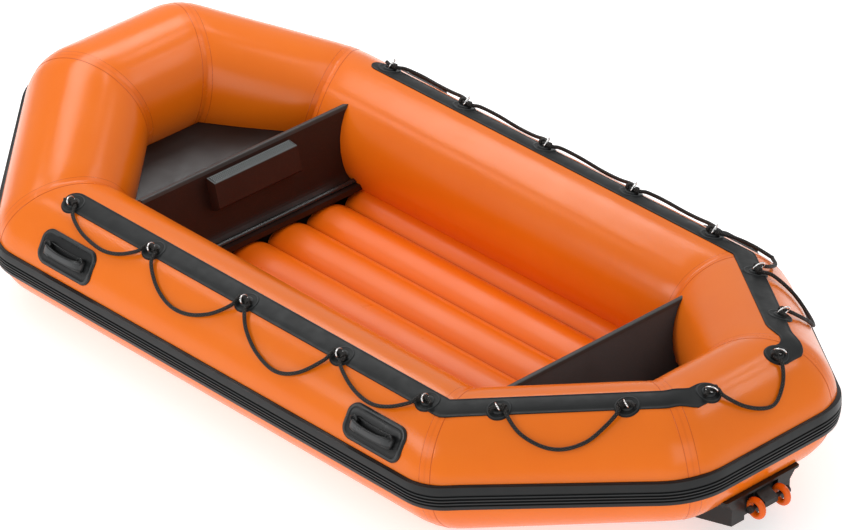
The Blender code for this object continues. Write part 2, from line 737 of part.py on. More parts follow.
def build_bow_board(material, collection, plan, ring):
    """The forward board, whose foot curves aft into a short lip."""
    face_x = BOW_BOARD_X + BOARD_THICKNESS
    top = board_reach(BOW_BOARD_TOP)
    foot = board_reach(COVE_Z)
    fore_top = board_point(face_x, top, 0.0)
    aft_top = board_point(face_x, top, BOARD_THICKNESS)
    cove_start = board_point(face_x, foot + COVE_RADIUS, BOARD_THICKNESS)
    centre = (cove_start[0] - COVE_RADIUS * math.cos(BOARD_LEAN),
              cove_start[1] + COVE_RADIUS * math.sin(BOARD_LEAN))
    outline = [fore_top, aft_top, cove_start]
    outer = []
    steps = 6
    for k in range(steps + 1):
        turn = -BOARD_LEAN - (math.pi / 2 - BOARD_LEAN) * k / steps
        way = Vector((math.cos(turn), math.sin(turn)))
        if k:
            outline.append(tuple(Vector(centre) + way * COVE_RADIUS))
        outer.append(tuple(Vector(centre) + way * (COVE_RADIUS + BOARD_THICKNESS)))
    lip_x = centre[0] - LIP_LENGTH
    outline += [(lip_x, outline[-1][1]), (lip_x, outer[-1][1])] + list(reversed(outer))
    board = prism("bow_board", outline, 1, -HALF_BEAM, HALF_BEAM, material, collection)
    boolean(board, plan, "INTERSECT")
    boolean(board, ring)


def build_pad(material, collection):
    back = BOARD_THICKNESS + GAP
    face_x = BOW_BOARD_X + BOARD_THICKNESS
    top, foot = board_reach(PAD_TOP), board_reach(PAD_FOOT)
    front = back + PAD_DEPTH
    outline = [board_point(face_x, top, back), board_point(face_x, top - PAD_TOP_FALL, front),
               board_point(face_x, foot, front), board_point(face_x, foot - 0.010, front - PAD_CHAMFER),
               board_point(face_x, foot - 0.014, back)]
    prism("step_pad", outline, 1, -PAD_HALF_LENGTH, PAD_HALF_LENGTH, material, collection)


def build_stern_board(material, collection, plan, ring):
    top, foot = board_reach(STERN_BOARD_TOP), board_reach(STERN_BOARD_FOOT)
    half = BOARD_THICKNESS / 2
    outline = [board_point(STERN_BOARD_X, top, -half), board_point(STERN_BOARD_X, top, half),
               board_point(STERN_BOARD_X, foot, half), board_point(STERN_BOARD_X, foot, -half)]
    board = prism("stern_board", outline, 1, -HALF_BEAM, HALF_BEAM, material, collection)
    boolean(board, plan, "INTERSECT")
    boolean(board, ring)


def slab(name, first, second, thickness, material, collection, plan, ring):
    """A plate from one X, Z point to another, thickness measured down, kept inside the ring of tubes."""
    outline = [first, second, (second[0], second[1] - thickness), (first[0], first[1] - thickness)]
    plate = prism(name, outline, 1, -HALF_BEAM, HALF_BEAM, material, collection)
    boolean(plate, plan, "INTERSECT")
    boolean(plate, ring)


def build_decks_and_skins(material, collection, plan, ring):
    """Decks in the two wells, and the bottom skin in a level middle and two sloping ends."""
    slab("bow_deck", *BOW_DECK, DECK_THICKNESS, material, collection, plan, ring)
    slab("stern_deck", *STERN_DECK, DECK_THICKNESS, material, collection, plan, ring)
    top = SKIN_BOTTOM + SKIN_THICKNESS
    bow_end = (BOW_X - TUBE_RADIUS / 2 + 0.02, BOW_RISE + SKIN_RISE)
    stern_end = (STERN_X + TUBE_RADIUS / 2 - 0.02, STERN_RISE + SKIN_RISE)
    slab("bottom_skin_middle", (SKIN_STERN_X + GAP, top), (SKIN_BOW_X - GAP, top), SKIN_THICKNESS,
         material, collection, plan, ring)
    slab("bottom_skin_bow", (SKIN_BOW_X, top), bow_end, SKIN_THICKNESS, material, collection, plan, ring)
    slab("bottom_skin_stern", stern_end, (SKIN_STERN_X, top), SKIN_THICKNESS,
         material, collection, plan, ring)


def round_bar(name, centre, half_length, radius, sides, collection):
    bm = bmesh.new()
    bmesh.ops.create_cone(bm, cap_ends=True, segments=sides, radius1=radius, radius2=radius,
                          depth=2 * half_length)
    bmesh.ops.rotate(bm, matrix=Matrix.Rotation(math.pi / 2, 3, "X"), verts=bm.verts)
    bmesh.ops.translate(bm, vec=centre, verts=bm.verts)
    return make_cutter(mesh_object(name, bm, None, collection))


def build_tow_bracket(material, collection, cutters, ring):
    """Wedge block under the stern tube with a flange over it, and a lug that carries the ring bar."""
    block_top = FLANGE_LOW_Z + 0.002
    plan = [(BLOCK_AFT_X, BLOCK_HALF_AFT), (BLOCK_AFT_X, -BLOCK_HALF_AFT),
            (BLOCK_FORE_X, -BLOCK_HALF_FORE), (BLOCK_FORE_X, BLOCK_HALF_FORE)]
    bracket = prism("tow_bracket", plan, 2, BLOCK_LOW_Z, block_top, material, collection)
    web_plan = [(BLOCK_AFT_X - 0.003, WEB_HALF_AFT), (BLOCK_AFT_X - 0.003, -WEB_HALF_AFT),
                (BLOCK_FORE_X - 0.002, -WEB_HALF_FORE), (BLOCK_FORE_X - 0.002, WEB_HALF_FORE)]
    foot_plan = [(x - 0.001, y * 0.995) for x, y in plan]
    web = tapered_block("bracket_web", foot_plan, web_plan, WEB_LOW_Z, FLANGE_LOW_Z + 0.001, cutters)
    nose = [(FLANGE_AFT_X, FLANGE_HALF_AFT - FLANGE_NOSE), (FLANGE_AFT_X + FLANGE_NOSE / 4, FLANGE_HALF_AFT),
            (FLANGE_AFT_X + FLANGE_NOSE, FLANGE_HALF_AFT + FLANGE_NOSE / 4), (BLOCK_FORE_X, FLANGE_HALF_FORE)]
    flange_plan = nose + [(x, -y) for x, y in reversed(nose)]
    flange_top = FLANGE_LOW_Z + FLANGE_THICKNESS
    flange = prism("bracket_flange", flange_plan, 2, FLANGE_LOW_Z, flange_top, None, cutters)
    lug_outline = [(BLOCK_AFT_X + 0.02, FLANGE_LOW_Z + 0.005), (TOW_BAR_X + 0.004, TOW_BAR_Z + 0.014),
                   (TOW_BAR_X - 0.012, TOW_BAR_Z + 0.006), (TOW_BAR_X - 0.012, TOW_BAR_Z - 0.014),
                   (BLOCK_AFT_X + 0.02, BLOCK_LOW_Z + 0.012)]
    lug = prism("bracket_lug", lug_outline, 1, -LUG_HALF, LUG_HALF, None, cutters)
    centre = Vector((TOW_BAR_X, 0, TOW_BAR_Z))
    bar = round_bar("bracket_bar", centre, TOW_BAR_HALF, TOW_BAR_RADIUS, 12, cutters)
    for piece in (web, flange, lug):
        boolean(bracket, make_cutter(piece), "UNION")
    for side in (-1, 1):
        middle = side * TOW_RING_Y
        slot_plan = [(BLOCK_AFT_X - 0.02, middle - RING_SLOT_HALF), (RING_SLOT_X, middle - RING_SLOT_HALF),
                     (RING_SLOT_X, middle + RING_SLOT_HALF), (BLOCK_AFT_X - 0.02, middle + RING_SLOT_HALF)]
        boolean(bracket, make_cutter(prism("bracket_slot", slot_plan, 2, BLOCK_LOW_Z - 0.01, FLANGE_LOW_Z,
                                           None, cutters)))
    boolean(bracket, bar, "UNION")
    for side in (-1, 1):
        stop = round_bar("bracket_stop", centre + Vector((0, side * (TOW_BAR_HALF - 0.003), 0)), 0.005,
                         TOW_BAR_RADIUS + 0.005, 12, cutters)
        boolean(bracket, stop, "UNION")
    boolean(bracket, ring)


def build_tow_rings(material, collection):
    """Thick rings that hang on the bracket's bar, with their origin on the bar's axis."""
    hang = TOW_RING_MAJOR - TOW_RING_MINOR - TOW_BAR_RADIUS - 0.0005
    for side, sign in (("port", 1), ("starboard", -1)):
        bpy.ops.mesh.primitive_torus_add(major_radius=TOW_RING_MAJOR, minor_radius=TOW_RING_MINOR,
                                         major_segments=24, minor_segments=10, align="WORLD")
        made = bpy.context.active_object
        bm = bmesh.new()
        bm.from_mesh(made.data)
        bpy.data.objects.remove(made)
        bmesh.ops.rotate(bm, matrix=Matrix.Rotation(math.pi / 2, 3, "X"), verts=bm.verts)
        bmesh.ops.translate(bm, vec=(0, 0, -hang), verts=bm.verts)
        ring = mesh_object("tow_ring_" + side, bm, material, collection, 60.0)
        ring.location = (TOW_BAR_X, sign * TOW_RING_Y, TOW_BAR_Z)


def main():
    clear_scene()
    boat = new_collection("lifeboat")
    cutters = new_collection("cutters")
    fabric = new_material("orange_tube_fabric", ORANGE, 0.28)
    floor_fabric = new_material("orange_floor_fabric", ORANGE, 0.34)
    rubber = new_material("black_rubber", BLACK, 0.45)
    board = new_material("bow_board_plastic", BROWN_BLACK, 0.4)
    charcoal = new_material("stern_board_plastic", CHARCOAL, 0.4)
    skin = new_material("black_bottom_fabric", BLACK, 0.5)
    rope = new_material("black_rope", BLACK, 0.8)
    ring = new_material("orange_ring_plastic", ORANGE, 0.3)
    build_tubes(fabric, boat)
    ring_cutter = build_ring_cutter(cutters)
    plan_cutter = build_plan_cutter(cutters)
    build_strakes(rubber, boat)
    build_strips(rubber, boat, cutters)
    build_ropes(rope, boat)
    build_handles(rubber, boat, cutters)
    build_floor(floor_fabric, boat, ring_cutter)
    build_bow_board(board, boat, plan_cutter, ring_cutter)
    build_pad(board, boat)
    build_stern_board(charcoal, boat, plan_cutter, ring_cutter)
    build_decks_and_skins(skin, boat, plan_cutter, ring_cutter)
    build_tow_bracket(rubber, boat, cutters, ring_cutter)
    build_tow_rings(ring, boat)


main()
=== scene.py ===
import math

import bmesh
import bpy
from mathutils import Matrix, Vector


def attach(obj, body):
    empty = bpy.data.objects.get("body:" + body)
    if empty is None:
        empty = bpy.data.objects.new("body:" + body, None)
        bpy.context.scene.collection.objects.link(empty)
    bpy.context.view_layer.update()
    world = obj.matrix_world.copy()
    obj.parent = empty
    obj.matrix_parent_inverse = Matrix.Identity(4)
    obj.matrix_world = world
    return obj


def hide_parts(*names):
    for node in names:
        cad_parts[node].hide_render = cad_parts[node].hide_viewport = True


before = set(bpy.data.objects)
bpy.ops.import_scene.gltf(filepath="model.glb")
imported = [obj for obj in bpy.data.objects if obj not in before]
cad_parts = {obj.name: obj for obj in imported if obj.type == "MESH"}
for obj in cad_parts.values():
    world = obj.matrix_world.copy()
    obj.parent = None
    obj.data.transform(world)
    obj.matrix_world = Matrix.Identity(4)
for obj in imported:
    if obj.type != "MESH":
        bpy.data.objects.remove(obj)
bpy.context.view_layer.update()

# Camera at the photograph's viewing angle
CAMERA_TARGET = Vector((0.0886, -0.1193, 0.225))
CAMERA_AZIMUTH = 226.24
CAMERA_ELEVATION = 31.2
CAMERA_DISTANCE = 19.94
CAMERA_LENS = 249.9

# Tube ring: centreline corners, as in the part's source
TUBE_RADIUS = 0.225
HALF_BEAM = 0.634
SHOULDER_BOW_X = 1.095
SHOULDER_STERN_X = -0.850
BOW_X = 1.429
BOW_HALF_WIDTH = 0.210
BOW_RISE = 0.195
STERN_X = -1.407
STERN_HALF_WIDTH = 0.221
STERN_RISE = 0.108
TUBE_AROUND = 96
SEAM_STEPS = (0.0, 0.006, 0.013, 0.021, 0.031, 0.045, 0.062, 0.085, 0.11)
SEAM_REACH = 0.040
SEAM_PINCH = 0.0026
SEAM_PUCKER = 0.00045
MIDDLE_STEPS = 14
BEND_STEPS = (0.0, 0.018, 0.036, 0.054, 0.072, 0.090, 0.108, 0.122)
TAPE_HALF = 0.020
TAPE_THICKNESS = 0.0012

# Rubbing strake
STRAKE_LOW_ANGLE = -14.0
STRAKE_HIGH_ANGLE = 8.4
STRAKE_BASE = 0.0085
STRAKE_RIB = 0.0055
STRAKE_RIBS = ((0.02, 0.34), (0.40, 0.47), (0.53, 0.60), (0.66, 0.73), (0.79, 0.98))
STRAKE_TWIST_SHOULDER_BOW = -4.5
STRAKE_TWIST_BOW = -13.0
STRAKE_TWIST_SHOULDER_STERN = -1.5
STRAKE_TWIST_STERN = -5.0

# Wear strip, patches and eyes
STRIP_LOW_ANGLE = 65.0
STRIP_HIGH_ANGLE = 85.5
STRIP_THICKNESS = 0.0035
STRIP_BOW_TIP_PORT = 1.835
STRIP_BOW_TIP_STARBOARD = 1.788
STRIP_STERN_TIP_PORT = 0.322
STRIP_STERN_TIP_STARBOARD = 0.066
STRIP_STERN_TWIST_PORT = -9.5
STRIP_STERN_TWIST_STARBOARD = -12.5
PATCH_RADIUS = 0.044
PATCH_THICKNESS = 0.005
BOSS_RADIUS = 0.022
BOSS_HIGH = 0.0070

# Bright rings as they look, leaning outboard on their bosses
RING_RADIUS = 0.0185
RING_WIRE = 0.0027
EYE_LEAN = 28.0
EYE_TURN = math.radians(62.0)

# Grab line
ROPE_DIAMETER = 0.014
ROPE_REST = 0.0105
ROPE_LIFT = 0.0045
LIFT_START = 44.0
LIFT_END = 55.0
ROPE_STEP = 0.0027
ROPE_TAIL = 0.030
ROPE_CROWN = 0.026
ROPE_DROP = 2.8
BRAID_DEPTH = 0.0011
BRAID_PITCH = 0.0115
KNOT_REACH = 0.019
KNOT_LENGTH = 0.014
KNOT_WIRE = 0.0036

# Carrying handles
HANDLE_ALONG = (1.681, 0.177)
HANDLE_LENGTH = 0.266
HANDLE_LOW_ANGLE = 12.0
HANDLE_HIGH_ANGLE = 44.0
HANDLE_PLATE = 0.008
HANDLE_CORNER = 0.040
GRIP_LENGTH = 0.172
GRIP_WIDTH = 0.028
GRIP_DEPTH = 0.014
FINGER_GAP = 0.018

# Air floor
FLOOR_TUBES = 6
FLOOR_PITCH = 0.183
FLOOR_WELD_Z = 0.074
FLOOR_CROWN = 0.041
FLOOR_STERN_X = -0.845
FLOOR_BOW_X = 0.715
FLOOR_DOME = 0.065

# Tow rings
TOW_BAR_X = -1.6285
TOW_BAR_Z = 0.150
TOW_BAR_RADIUS = 0.008
TOW_RING_Y = 0.058
TOW_RING_MAJOR = 0.0275
TOW_RING_MINOR = 0.0120

# Boards
BOARD_LEAN = math.radians(15.0)
BOARD_THICKNESS = 0.022
BOW_BOARD_X = 0.8085
PAD_HALF_LENGTH = 0.192
PAD_DEPTH = 0.045
PAD_TOP = 0.366
PAD_TOP_FALL = 0.019
BOW_BOARD_TOP = 0.388
STERN_BOARD_X = -0.8585
STERN_BOARD_TOP = 0.368
FOOT_BEAD_X = 0.758
FOOT_BEAD_Z = 0.150
FOOT_BEAD_RADIUS = 0.010

# Light
WORLD_LIGHT = 0.58
FLOOR_GLOW = 0.56

CORNERS = [
    Vector((SHOULDER_STERN_X, HALF_BEAM, TUBE_RADIUS)),
    Vector((SHOULDER_BOW_X, HALF_BEAM, TUBE_RADIUS)),
    Vector((BOW_X, BOW_HALF_WIDTH, TUBE_RADIUS + BOW_RISE)),
    Vector((BOW_X, -BOW_HALF_WIDTH, TUBE_RADIUS + BOW_RISE)),
    Vector((SHOULDER_BOW_X, -HALF_BEAM, TUBE_RADIUS)),
    Vector((SHOULDER_STERN_X, -HALF_BEAM, TUBE_RADIUS)),
    Vector((STERN_X, -STERN_HALF_WIDTH, TUBE_RADIUS + STERN_RISE)),
    Vector((STERN_X, STERN_HALF_WIDTH, TUBE_RADIUS + STERN_RISE)),
]
SEGMENTS = ["port_side", "port_bow", "bow", "starboard_bow",
            "starboard_side", "starboard_stern", "stern", "port_stern"]
STRAKE_TWISTS = [STRAKE_TWIST_SHOULDER_STERN, STRAKE_TWIST_SHOULDER_BOW, STRAKE_TWIST_BOW, STRAKE_TWIST_BOW,
                 STRAKE_TWIST_SHOULDER_BOW, STRAKE_TWIST_SHOULDER_STERN, STRAKE_TWIST_STERN, STRAKE_TWIST_STERN]

# Grab line eyes: segment, distance along it, angle on the tube
PORT_EYES = [(0, 1.790, 72), (0, 1.377, 71), (0, 0.918, 71), (0, 0.460, 71), (0, 0.068, 73),
             (7, 0.522, 71), (7, 0.106, 69), (6, 0.359, 64)]
STARBOARD_EYES = [(4, 0.219, 72), (4, 0.590, 71), (4, 0.985, 71), (4, 1.402, 71), (4, 1.788, 73),
                  (5, 0.165, 73), (5, 0.532, 69), (6, 0.039, 65)]

# Lowest stretch of each hanging loop: fractions of the way between two eyes, with the angle on the tube
PORT_LOOPS = [
    [(0.12, 61), (0.28, 53), (0.45, 49), (0.62, 48), (0.78, 52), (0.91, 61)],
    [(0.10, 58), (0.26, 44), (0.45, 36), (0.64, 37), (0.82, 46), (0.94, 60)],
    [(0.07, 62), (0.19, 49), (0.38, 37), (0.60, 32), (0.79, 40), (0.93, 58)],
    [(0.08, 62), (0.32, 51), (0.55, 47), (0.74, 51), (0.90, 62)],
]
PORT_QUARTER_LOOP = [(0.07, 63), (0.18, 47), (0.35, 36), (0.52, 33), (0.70, 38), (0.84, 49), (0.94, 61)]
STERN_LOOP = [(0.08, 54), (0.22, 40), (0.42, 31), (0.60, 30), (0.80, 41), (0.93, 55)]
STARBOARD_LOOPS = [
    [(0.10, 61), (0.24, 53), (0.42, 49), (0.60, 49), (0.78, 54), (0.92, 62)],
    [(0.09, 60), (0.22, 50), (0.42, 42), (0.62, 43), (0.80, 51), (0.92, 61)],
    [(0.09, 60), (0.22, 49), (0.42, 41), (0.62, 42), (0.80, 50), (0.92, 60)],
    [(0.09, 60), (0.22, 52), (0.42, 48), (0.60, 48.5), (0.78, 53), (0.92, 61)],
    [(4, 1.850, 61), (4, 1.905, 53), (4, 1.980, 48), (5, -0.037, 47), (5, 0.045, 50), (5, 0.115, 60)],
    [(0.08, 60), (0.20, 42), (0.38, 27), (0.58, 24), (0.78, 38), (0.93, 58)],
]

ORANGE = (0.83, 0.168, 0.006)
RUBBER = (0.0085, 0.0090, 0.0092)


def make_camera():
    azimuth, elevation = math.radians(CAMERA_AZIMUTH), math.radians(CAMERA_ELEVATION)
    back = Vector((math.sin(azimuth) * math.cos(elevation), -math.cos(azimuth) * math.cos(elevation),
                   math.sin(elevation)))
    data = bpy.data.cameras.new("camera")
    data.sensor_width = 36.0
    data.lens = CAMERA_LENS
    data.clip_end = 100.0
    camera = bpy.data.objects.new("camera", data)
    camera.location = CAMERA_TARGET + back * CAMERA_DISTANCE
    camera.rotation_mode = "QUATERNION"
    camera.rotation_quaternion = (-back).to_track_quat("-Z", "Y")
    bpy.context.scene.collection.objects.link(camera)
    bpy.context.scene.camera = camera


# Materials

class Surface:
    """A Principled material whose node tree is built up step by step."""

    def __init__(self, name, colour, roughness, metallic=0.0, specular=0.5, coat=0.0):
        self.material = bpy.data.materials.new(name)
        self.material.use_nodes = True
        self.nodes = self.material.node_tree.nodes
        self.links = self.material.node_tree.links
        self.shader = self.nodes["Principled BSDF"]
        self.shader.inputs["Base Color"].default_value = (*colour, 1.0)
        self.shader.inputs["Roughness"].default_value = roughness
        self.shader.inputs["Metallic"].default_value = metallic
        self.shader.inputs["Specular IOR Level"].default_value = specular
        self.shader.inputs["Coat Weight"].default_value = coat
        self.shader.inputs["Coat Roughness"].default_value = 0.12
        self.place = self.nodes.new("ShaderNodeTexCoord").outputs["Object"]
        self.colour = None
        self.base = colour
        self.height = None

    def noise(self, scale, detail=3.0, rough=0.55, stretch=None):
        node = self.nodes.new("ShaderNodeTexNoise")
        node.inputs["Scale"].default_value = scale
        node.inputs["Detail"].default_value = detail
        node.inputs["Roughness"].default_value = rough
        source = self.place
        if stretch:
            mapping = self.nodes.new("ShaderNodeMapping")
            mapping.inputs["Scale"].default_value = stretch
            self.links.new(self.place, mapping.inputs["Vector"])
            source = mapping.outputs["Vector"]
        self.links.new(source, node.inputs["Vector"])
        return node.outputs["Fac"]

    def attribute(self, name):
        node = self.nodes.new("ShaderNodeAttribute")
        node.attribute_name = name
        return node.outputs["Fac"]

    def ramp(self, value, low, high, to_low=0.0, to_high=1.0):
        node = self.nodes.new("ShaderNodeMapRange")
        node.inputs["From Min"].default_value = low
        node.inputs["From Max"].default_value = high
        node.inputs["To Min"].default_value = to_low
        node.inputs["To Max"].default_value = to_high
        self.links.new(value, node.inputs["Value"])
        return node.outputs["Result"]

    def tint(self, colour, share):
        """Mix another colour into the base, by a socket from 0 to 1."""
        node = self.nodes.new("ShaderNodeMix")
        node.data_type = "RGBA"
        if self.colour is None:
            node.inputs["A"].default_value = (*self.base, 1.0)
        else:
            self.links.new(self.colour, node.inputs["A"])
        node.inputs["B"].default_value = (*colour, 1.0)
        self.links.new(share, node.inputs["Factor"])
        self.colour = node.outputs["Result"]
        self.links.new(self.colour, self.shader.inputs["Base Color"])

    def vary_roughness(self, value):
        self.links.new(value, self.shader.inputs["Roughness"])

    def bump(self, height, distance, strength=1.0):
        node = self.nodes.new("ShaderNodeBump")
        node.inputs["Strength"].default_value = strength
        node.inputs["Distance"].default_value = distance
        self.links.new(height, node.inputs["Height"])
        if self.height is not None:
            self.links.new(self.height, node.inputs["Normal"])
        self.height = node.outputs["Normal"]
        self.links.new(self.height, self.shader.inputs["Normal"])

    def weave(self, pitch):
        """A fine fabric grid, the sum of bands across each axis."""
        total = None
        for axis in ("X", "Y", "Z"):
            wave = self.nodes.new("ShaderNodeTexWave")
            wave.wave_type = "BANDS"
            wave.bands_direction = axis
            wave.inputs["Scale"].default_value = 0.314 / pitch
            self.links.new(self.place, wave.inputs["Vector"])
            if total is None:
                total = wave.outputs["Fac"]
                continue
            add = self.nodes.new("ShaderNodeMath")
            add.operation = "MAXIMUM"
            self.links.new(total, add.inputs[0])
            self.links.new(wave.outputs["Fac"], add.inputs[1])
            total = add.outputs["Value"]
        return total


def coated_fabric(name, colour, roughness, specular=0.34):
    """Glossy orange coated fabric with a fine weave and faint waves, darker along its edge attribute: painted shade
    at the tape edges and in the creases between the floor tubes, and a flash line on the tow rings.
    """
    s = Surface(name, colour, roughness, specular=specular)
    deeper = tuple(c * k for c, k in zip(colour, (0.93, 0.80, 0.6)))
    lighter = tuple(min(1.0, c * k) for c, k in zip(colour, (1.04, 1.16, 1.4)))
    s.tint(deeper, s.ramp(s.noise(2.6, 4.0), 0.42, 0.70, 0.0, 0.30))
    s.tint(lighter, s.ramp(s.noise(13.0, 5.0), 0.5, 0.75, 0.0, 0.12))
    # Painted shade: the edge attribute darkens the tape edges and the creases between the floor tubes; on the tow
    # rings it marks their flash line.
    s.tint((0.42, 0.055, 0.003), s.ramp(s.attribute("edge"), 0.0, 1.0, 0.0, 0.6))
    s.vary_roughness(s.ramp(s.noise(7.0, 6.0), 0.3, 0.75, roughness - 0.03, roughness + 0.06))
    s.bump(s.noise(4.2, 2.0), 0.005, 0.28)
    s.bump(s.noise(30.0, 3.0), 0.0005, 0.20)
    s.bump(s.weave(0.0016), 0.00010, 0.25)
    return s.material


def moulded_rubber(name, colour, roughness, dust=0.10, crown=(0.070, 0.073, 0.075), specular=0.36):
    """Black rubber with a fine grain, and a lighter grey on what stands proud: a painted highlight along the handle
    bars' ridges and plate steps, lighter crowns on the other pieces.
    """
    s = Surface(name, colour, roughness, specular=specular)
    s.tint(tuple(c * 2.2 for c in colour), s.ramp(s.noise(14.0, 6.0, 0.65), 0.48, 0.80, 0.0, dust * 3))
    # Lighter grey on the edge attribute: a painted highlight on the handle ridges and plate steps, lighter crowns on
    # ribs, hems, rings, cap tops and studs elsewhere.
    s.tint(crown, s.ramp(s.attribute("edge"), 0.0, 1.0, 0.0, 0.6))
    s.vary_roughness(s.ramp(s.noise(22.0, 5.0), 0.3, 0.75, roughness - 0.06, roughness + 0.09))
    s.bump(s.noise(420.0, 3.0), 0.00025, 0.35)
    s.bump(s.noise(28.0, 3.0), 0.0008, 0.20)
    return s.material


def braided_cord(name):
    """Black braided rope with pale flecks on its strands."""
    s = Surface(name, (0.0065, 0.0060, 0.0055), 0.60, specular=0.30)
    s.tint((0.12, 0.095, 0.078), s.ramp(s.attribute("edge"), 0.30, 0.75, 0.0, 0.80))
    s.tint((0.006, 0.005, 0.005), s.ramp(s.noise(150.0, 2.0), 0.50, 0.62, 0.0, 0.80))
    s.bump(s.noise(900.0, 2.0), 0.0004, 0.5)
    return s.material


def board_surface(name, colour, fleck, roughness, specular=0.30):
    """Phenolic board: fine speckle, faint long grain and rubbed patches."""
    s = Surface(name, colour, roughness, specular=specular)
    s.tint(fleck, s.ramp(s.noise(430.0, 2.0), 0.56, 0.70, 0.0, 0.60))
    s.tint(tuple(c * 0.45 for c in colour), s.ramp(s.noise(4.0, 4.0), 0.45, 0.75, 0.0, 0.5))
    s.vary_roughness(s.ramp(s.noise(11.0, 6.0), 0.3, 0.75, roughness - 0.05, roughness + 0.10))
    s.bump(s.noise(260.0, 3.0), 0.0003, 0.4)
    return s.material


def bottom_skin(name):
    """Dark coated cloth of the decks and the bottom."""
    s = Surface(name, (0.0105, 0.0070, 0.0062), 0.36, specular=0.38)
    s.tint((0.030, 0.027, 0.025), s.ramp(s.noise(7.0, 5.0), 0.45, 0.75, 0.0, 0.4))
    s.vary_roughness(s.ramp(s.noise(12.0, 5.0), 0.3, 0.75, 0.30, 0.46))
    s.bump(s.weave(0.0022), 0.0002, 0.35)
    s.bump(s.noise(6.0, 3.0), 0.003, 0.25)
    return s.material


def bright_metal(name):
    s = Surface(name, (0.78, 0.77, 0.76), 0.16, metallic=1.0)
    s.tint((0.50, 0.49, 0.48), s.ramp(s.noise(160.0, 4.0), 0.5, 0.75, 0.0, 0.5))
    s.vary_roughness(s.ramp(s.noise(300.0, 4.0), 0.3, 0.75, 0.10, 0.28))
    s.bump(s.noise(700.0, 2.0), 0.0001, 0.3)
    return s.material


TUBE_FABRIC = coated_fabric("tube_fabric", ORANGE, 0.21)
TAPE_FABRIC = coated_fabric("tape_fabric", (0.83, 0.162, 0.006), 0.25)
FLOOR_FABRIC = coated_fabric("floor_fabric", (0.88, 0.156, 0.004), 0.30, 0.26)
RING_PLASTIC = coated_fabric("ring_plastic", (0.84, 0.125, 0.003), 0.22)
STRAKE_RUBBER = moulded_rubber("strake_rubber", RUBBER, 0.36, specular=0.30)
STRIP_RUBBER = moulded_rubber("strip_rubber", (0.0105, 0.0115, 0.0118), 0.42, specular=0.17)
HANDLE_RUBBER = moulded_rubber("handle_rubber", (0.0075, 0.0080, 0.0082), 0.30)
BRACKET_RUBBER = moulded_rubber("bracket_rubber", (0.012, 0.0115, 0.011), 0.36)
CORD = braided_cord("cord")
BOW_BOARD = board_surface("bow_board_surface", (0.0230, 0.0078, 0.0050), (0.070, 0.028, 0.017), 0.42, 0.2)
PAD_FACE = board_surface("pad_surface", (0.0310, 0.0095, 0.0055), (0.085, 0.034, 0.020), 0.50, 0.2)
STERN_BOARD = board_surface("stern_board_surface", (0.058, 0.060, 0.062), (0.090, 0.092, 0.094), 0.55, 0.2)
BOARD_EDGE = moulded_rubber("board_edge_rubber", (0.036, 0.037, 0.036), 0.40, specular=0.25)
FOOT_BEAD = moulded_rubber("foot_bead_rubber", (0.012, 0.013, 0.013), 0.22, specular=0.5)
PAD_GRIP = moulded_rubber("pad_grip_rubber", (0.016, 0.018, 0.018), 0.45, crown=(0.30, 0.32, 0.32), specular=0.2)
SKIN = bottom_skin("bottom_skin_fabric")
CHROME = bright_metal("bright_eye_metal")


# Mesh building

def add_piece(name, mesh, material, body="hull", nodes=(), smooth=40.0, parent=None):
    """Link a finished mesh as one piece of the boat, riding on a body and standing for CAD nodes."""
    mesh.materials.append(material)
    mesh.shade_smooth()
    mesh.set_sharp_from_angle(angle=math.radians(smooth))
    piece = bpy.data.objects.new(name, mesh)
    bpy.context.scene.collection.objects.link(piece)
    if parent:
        piece.parent = parent
    else:
        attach(piece, body)
    if nodes:
        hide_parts(*nodes)
    return piece


def mesh_from(name, points, faces, edge=None, recalculate=False):
    mesh = bpy.data.meshes.new(name)
    mesh.from_pydata([tuple(p) for p in points], [], faces)
    if recalculate:
        bm = bmesh.new()
        bm.from_mesh(mesh)
        bmesh.ops.recalc_face_normals(bm, faces=bm.faces)
        bm.to_mesh(mesh)
        bm.free()
    if edge is not None:
        mesh.attributes.new("edge", "FLOAT", "POINT").data.foreach_set("value", edge)
    return mesh


def sheet_faces(rows, columns, wrap_columns=False, wrap_rows=False, start=0):
    """Quads between rows of points that follow each other."""
    faces = []
    for r in range(rows if wrap_rows else rows - 1):
        following = (r + 1) % rows
        for c in range(columns if wrap_columns else columns - 1):
            beside = (c + 1) % columns
            faces.append((start + r * columns + c, start + r * columns + beside,
                          start + following * columns + beside, start + following * columns + c))
    return faces


def smooth_step(value, low, high):
    t = min(max((value - low) / (high - low), 0.0), 1.0)
    return t * t * (3 - 2 * t)


# The ring of tubes

def ring_frames():
    """Direction, outward and upward axes of each tube, carried round the corners by reflection."""
    count = len(CORNERS)
    directions = [(CORNERS[(i + 1) % count] - CORNERS[i]).normalized() for i in range(count)]
    outward = Vector((0, 1, 0))
    upward = Vector((0, 0, 1))
    frames = []
    for i in range(count):
        if i:
            normal = (directions[i - 1] + directions[i]).normalized()
            outward = outward - 2 * outward.dot(normal) * normal
            upward = upward - 2 * upward.dot(normal) * normal
        frames.append((CORNERS[i], directions[i], outward.copy(), upward.copy()))
    return frames


FRAMES = ring_frames()


def segment_length(segment):
    return (CORNERS[(segment + 1) % len(CORNERS)] - CORNERS[segment]).length


def corner_normal(corner):
    return (FRAMES[corner - 1][1] + FRAMES[corner][1]).normalized()


def tube_axes(segment, angle):
    """Axes at a point of the tube: along it, round it upwards, and straight out of it."""
    direction, outward, upward = FRAMES[segment][1:]
    turn = math.radians(angle)
    out = outward * math.cos(turn) + upward * math.sin(turn)
    return direction, (upward * math.cos(turn) - outward * math.sin(turn)), out


def corner_bend(corner):
    """Axis the ring turns about at a corner, and half the angle it turns by."""
    before, after = FRAMES[corner - 1][1], FRAMES[corner][1]
    return before.cross(after).normalized(), before.angle(after) / 2


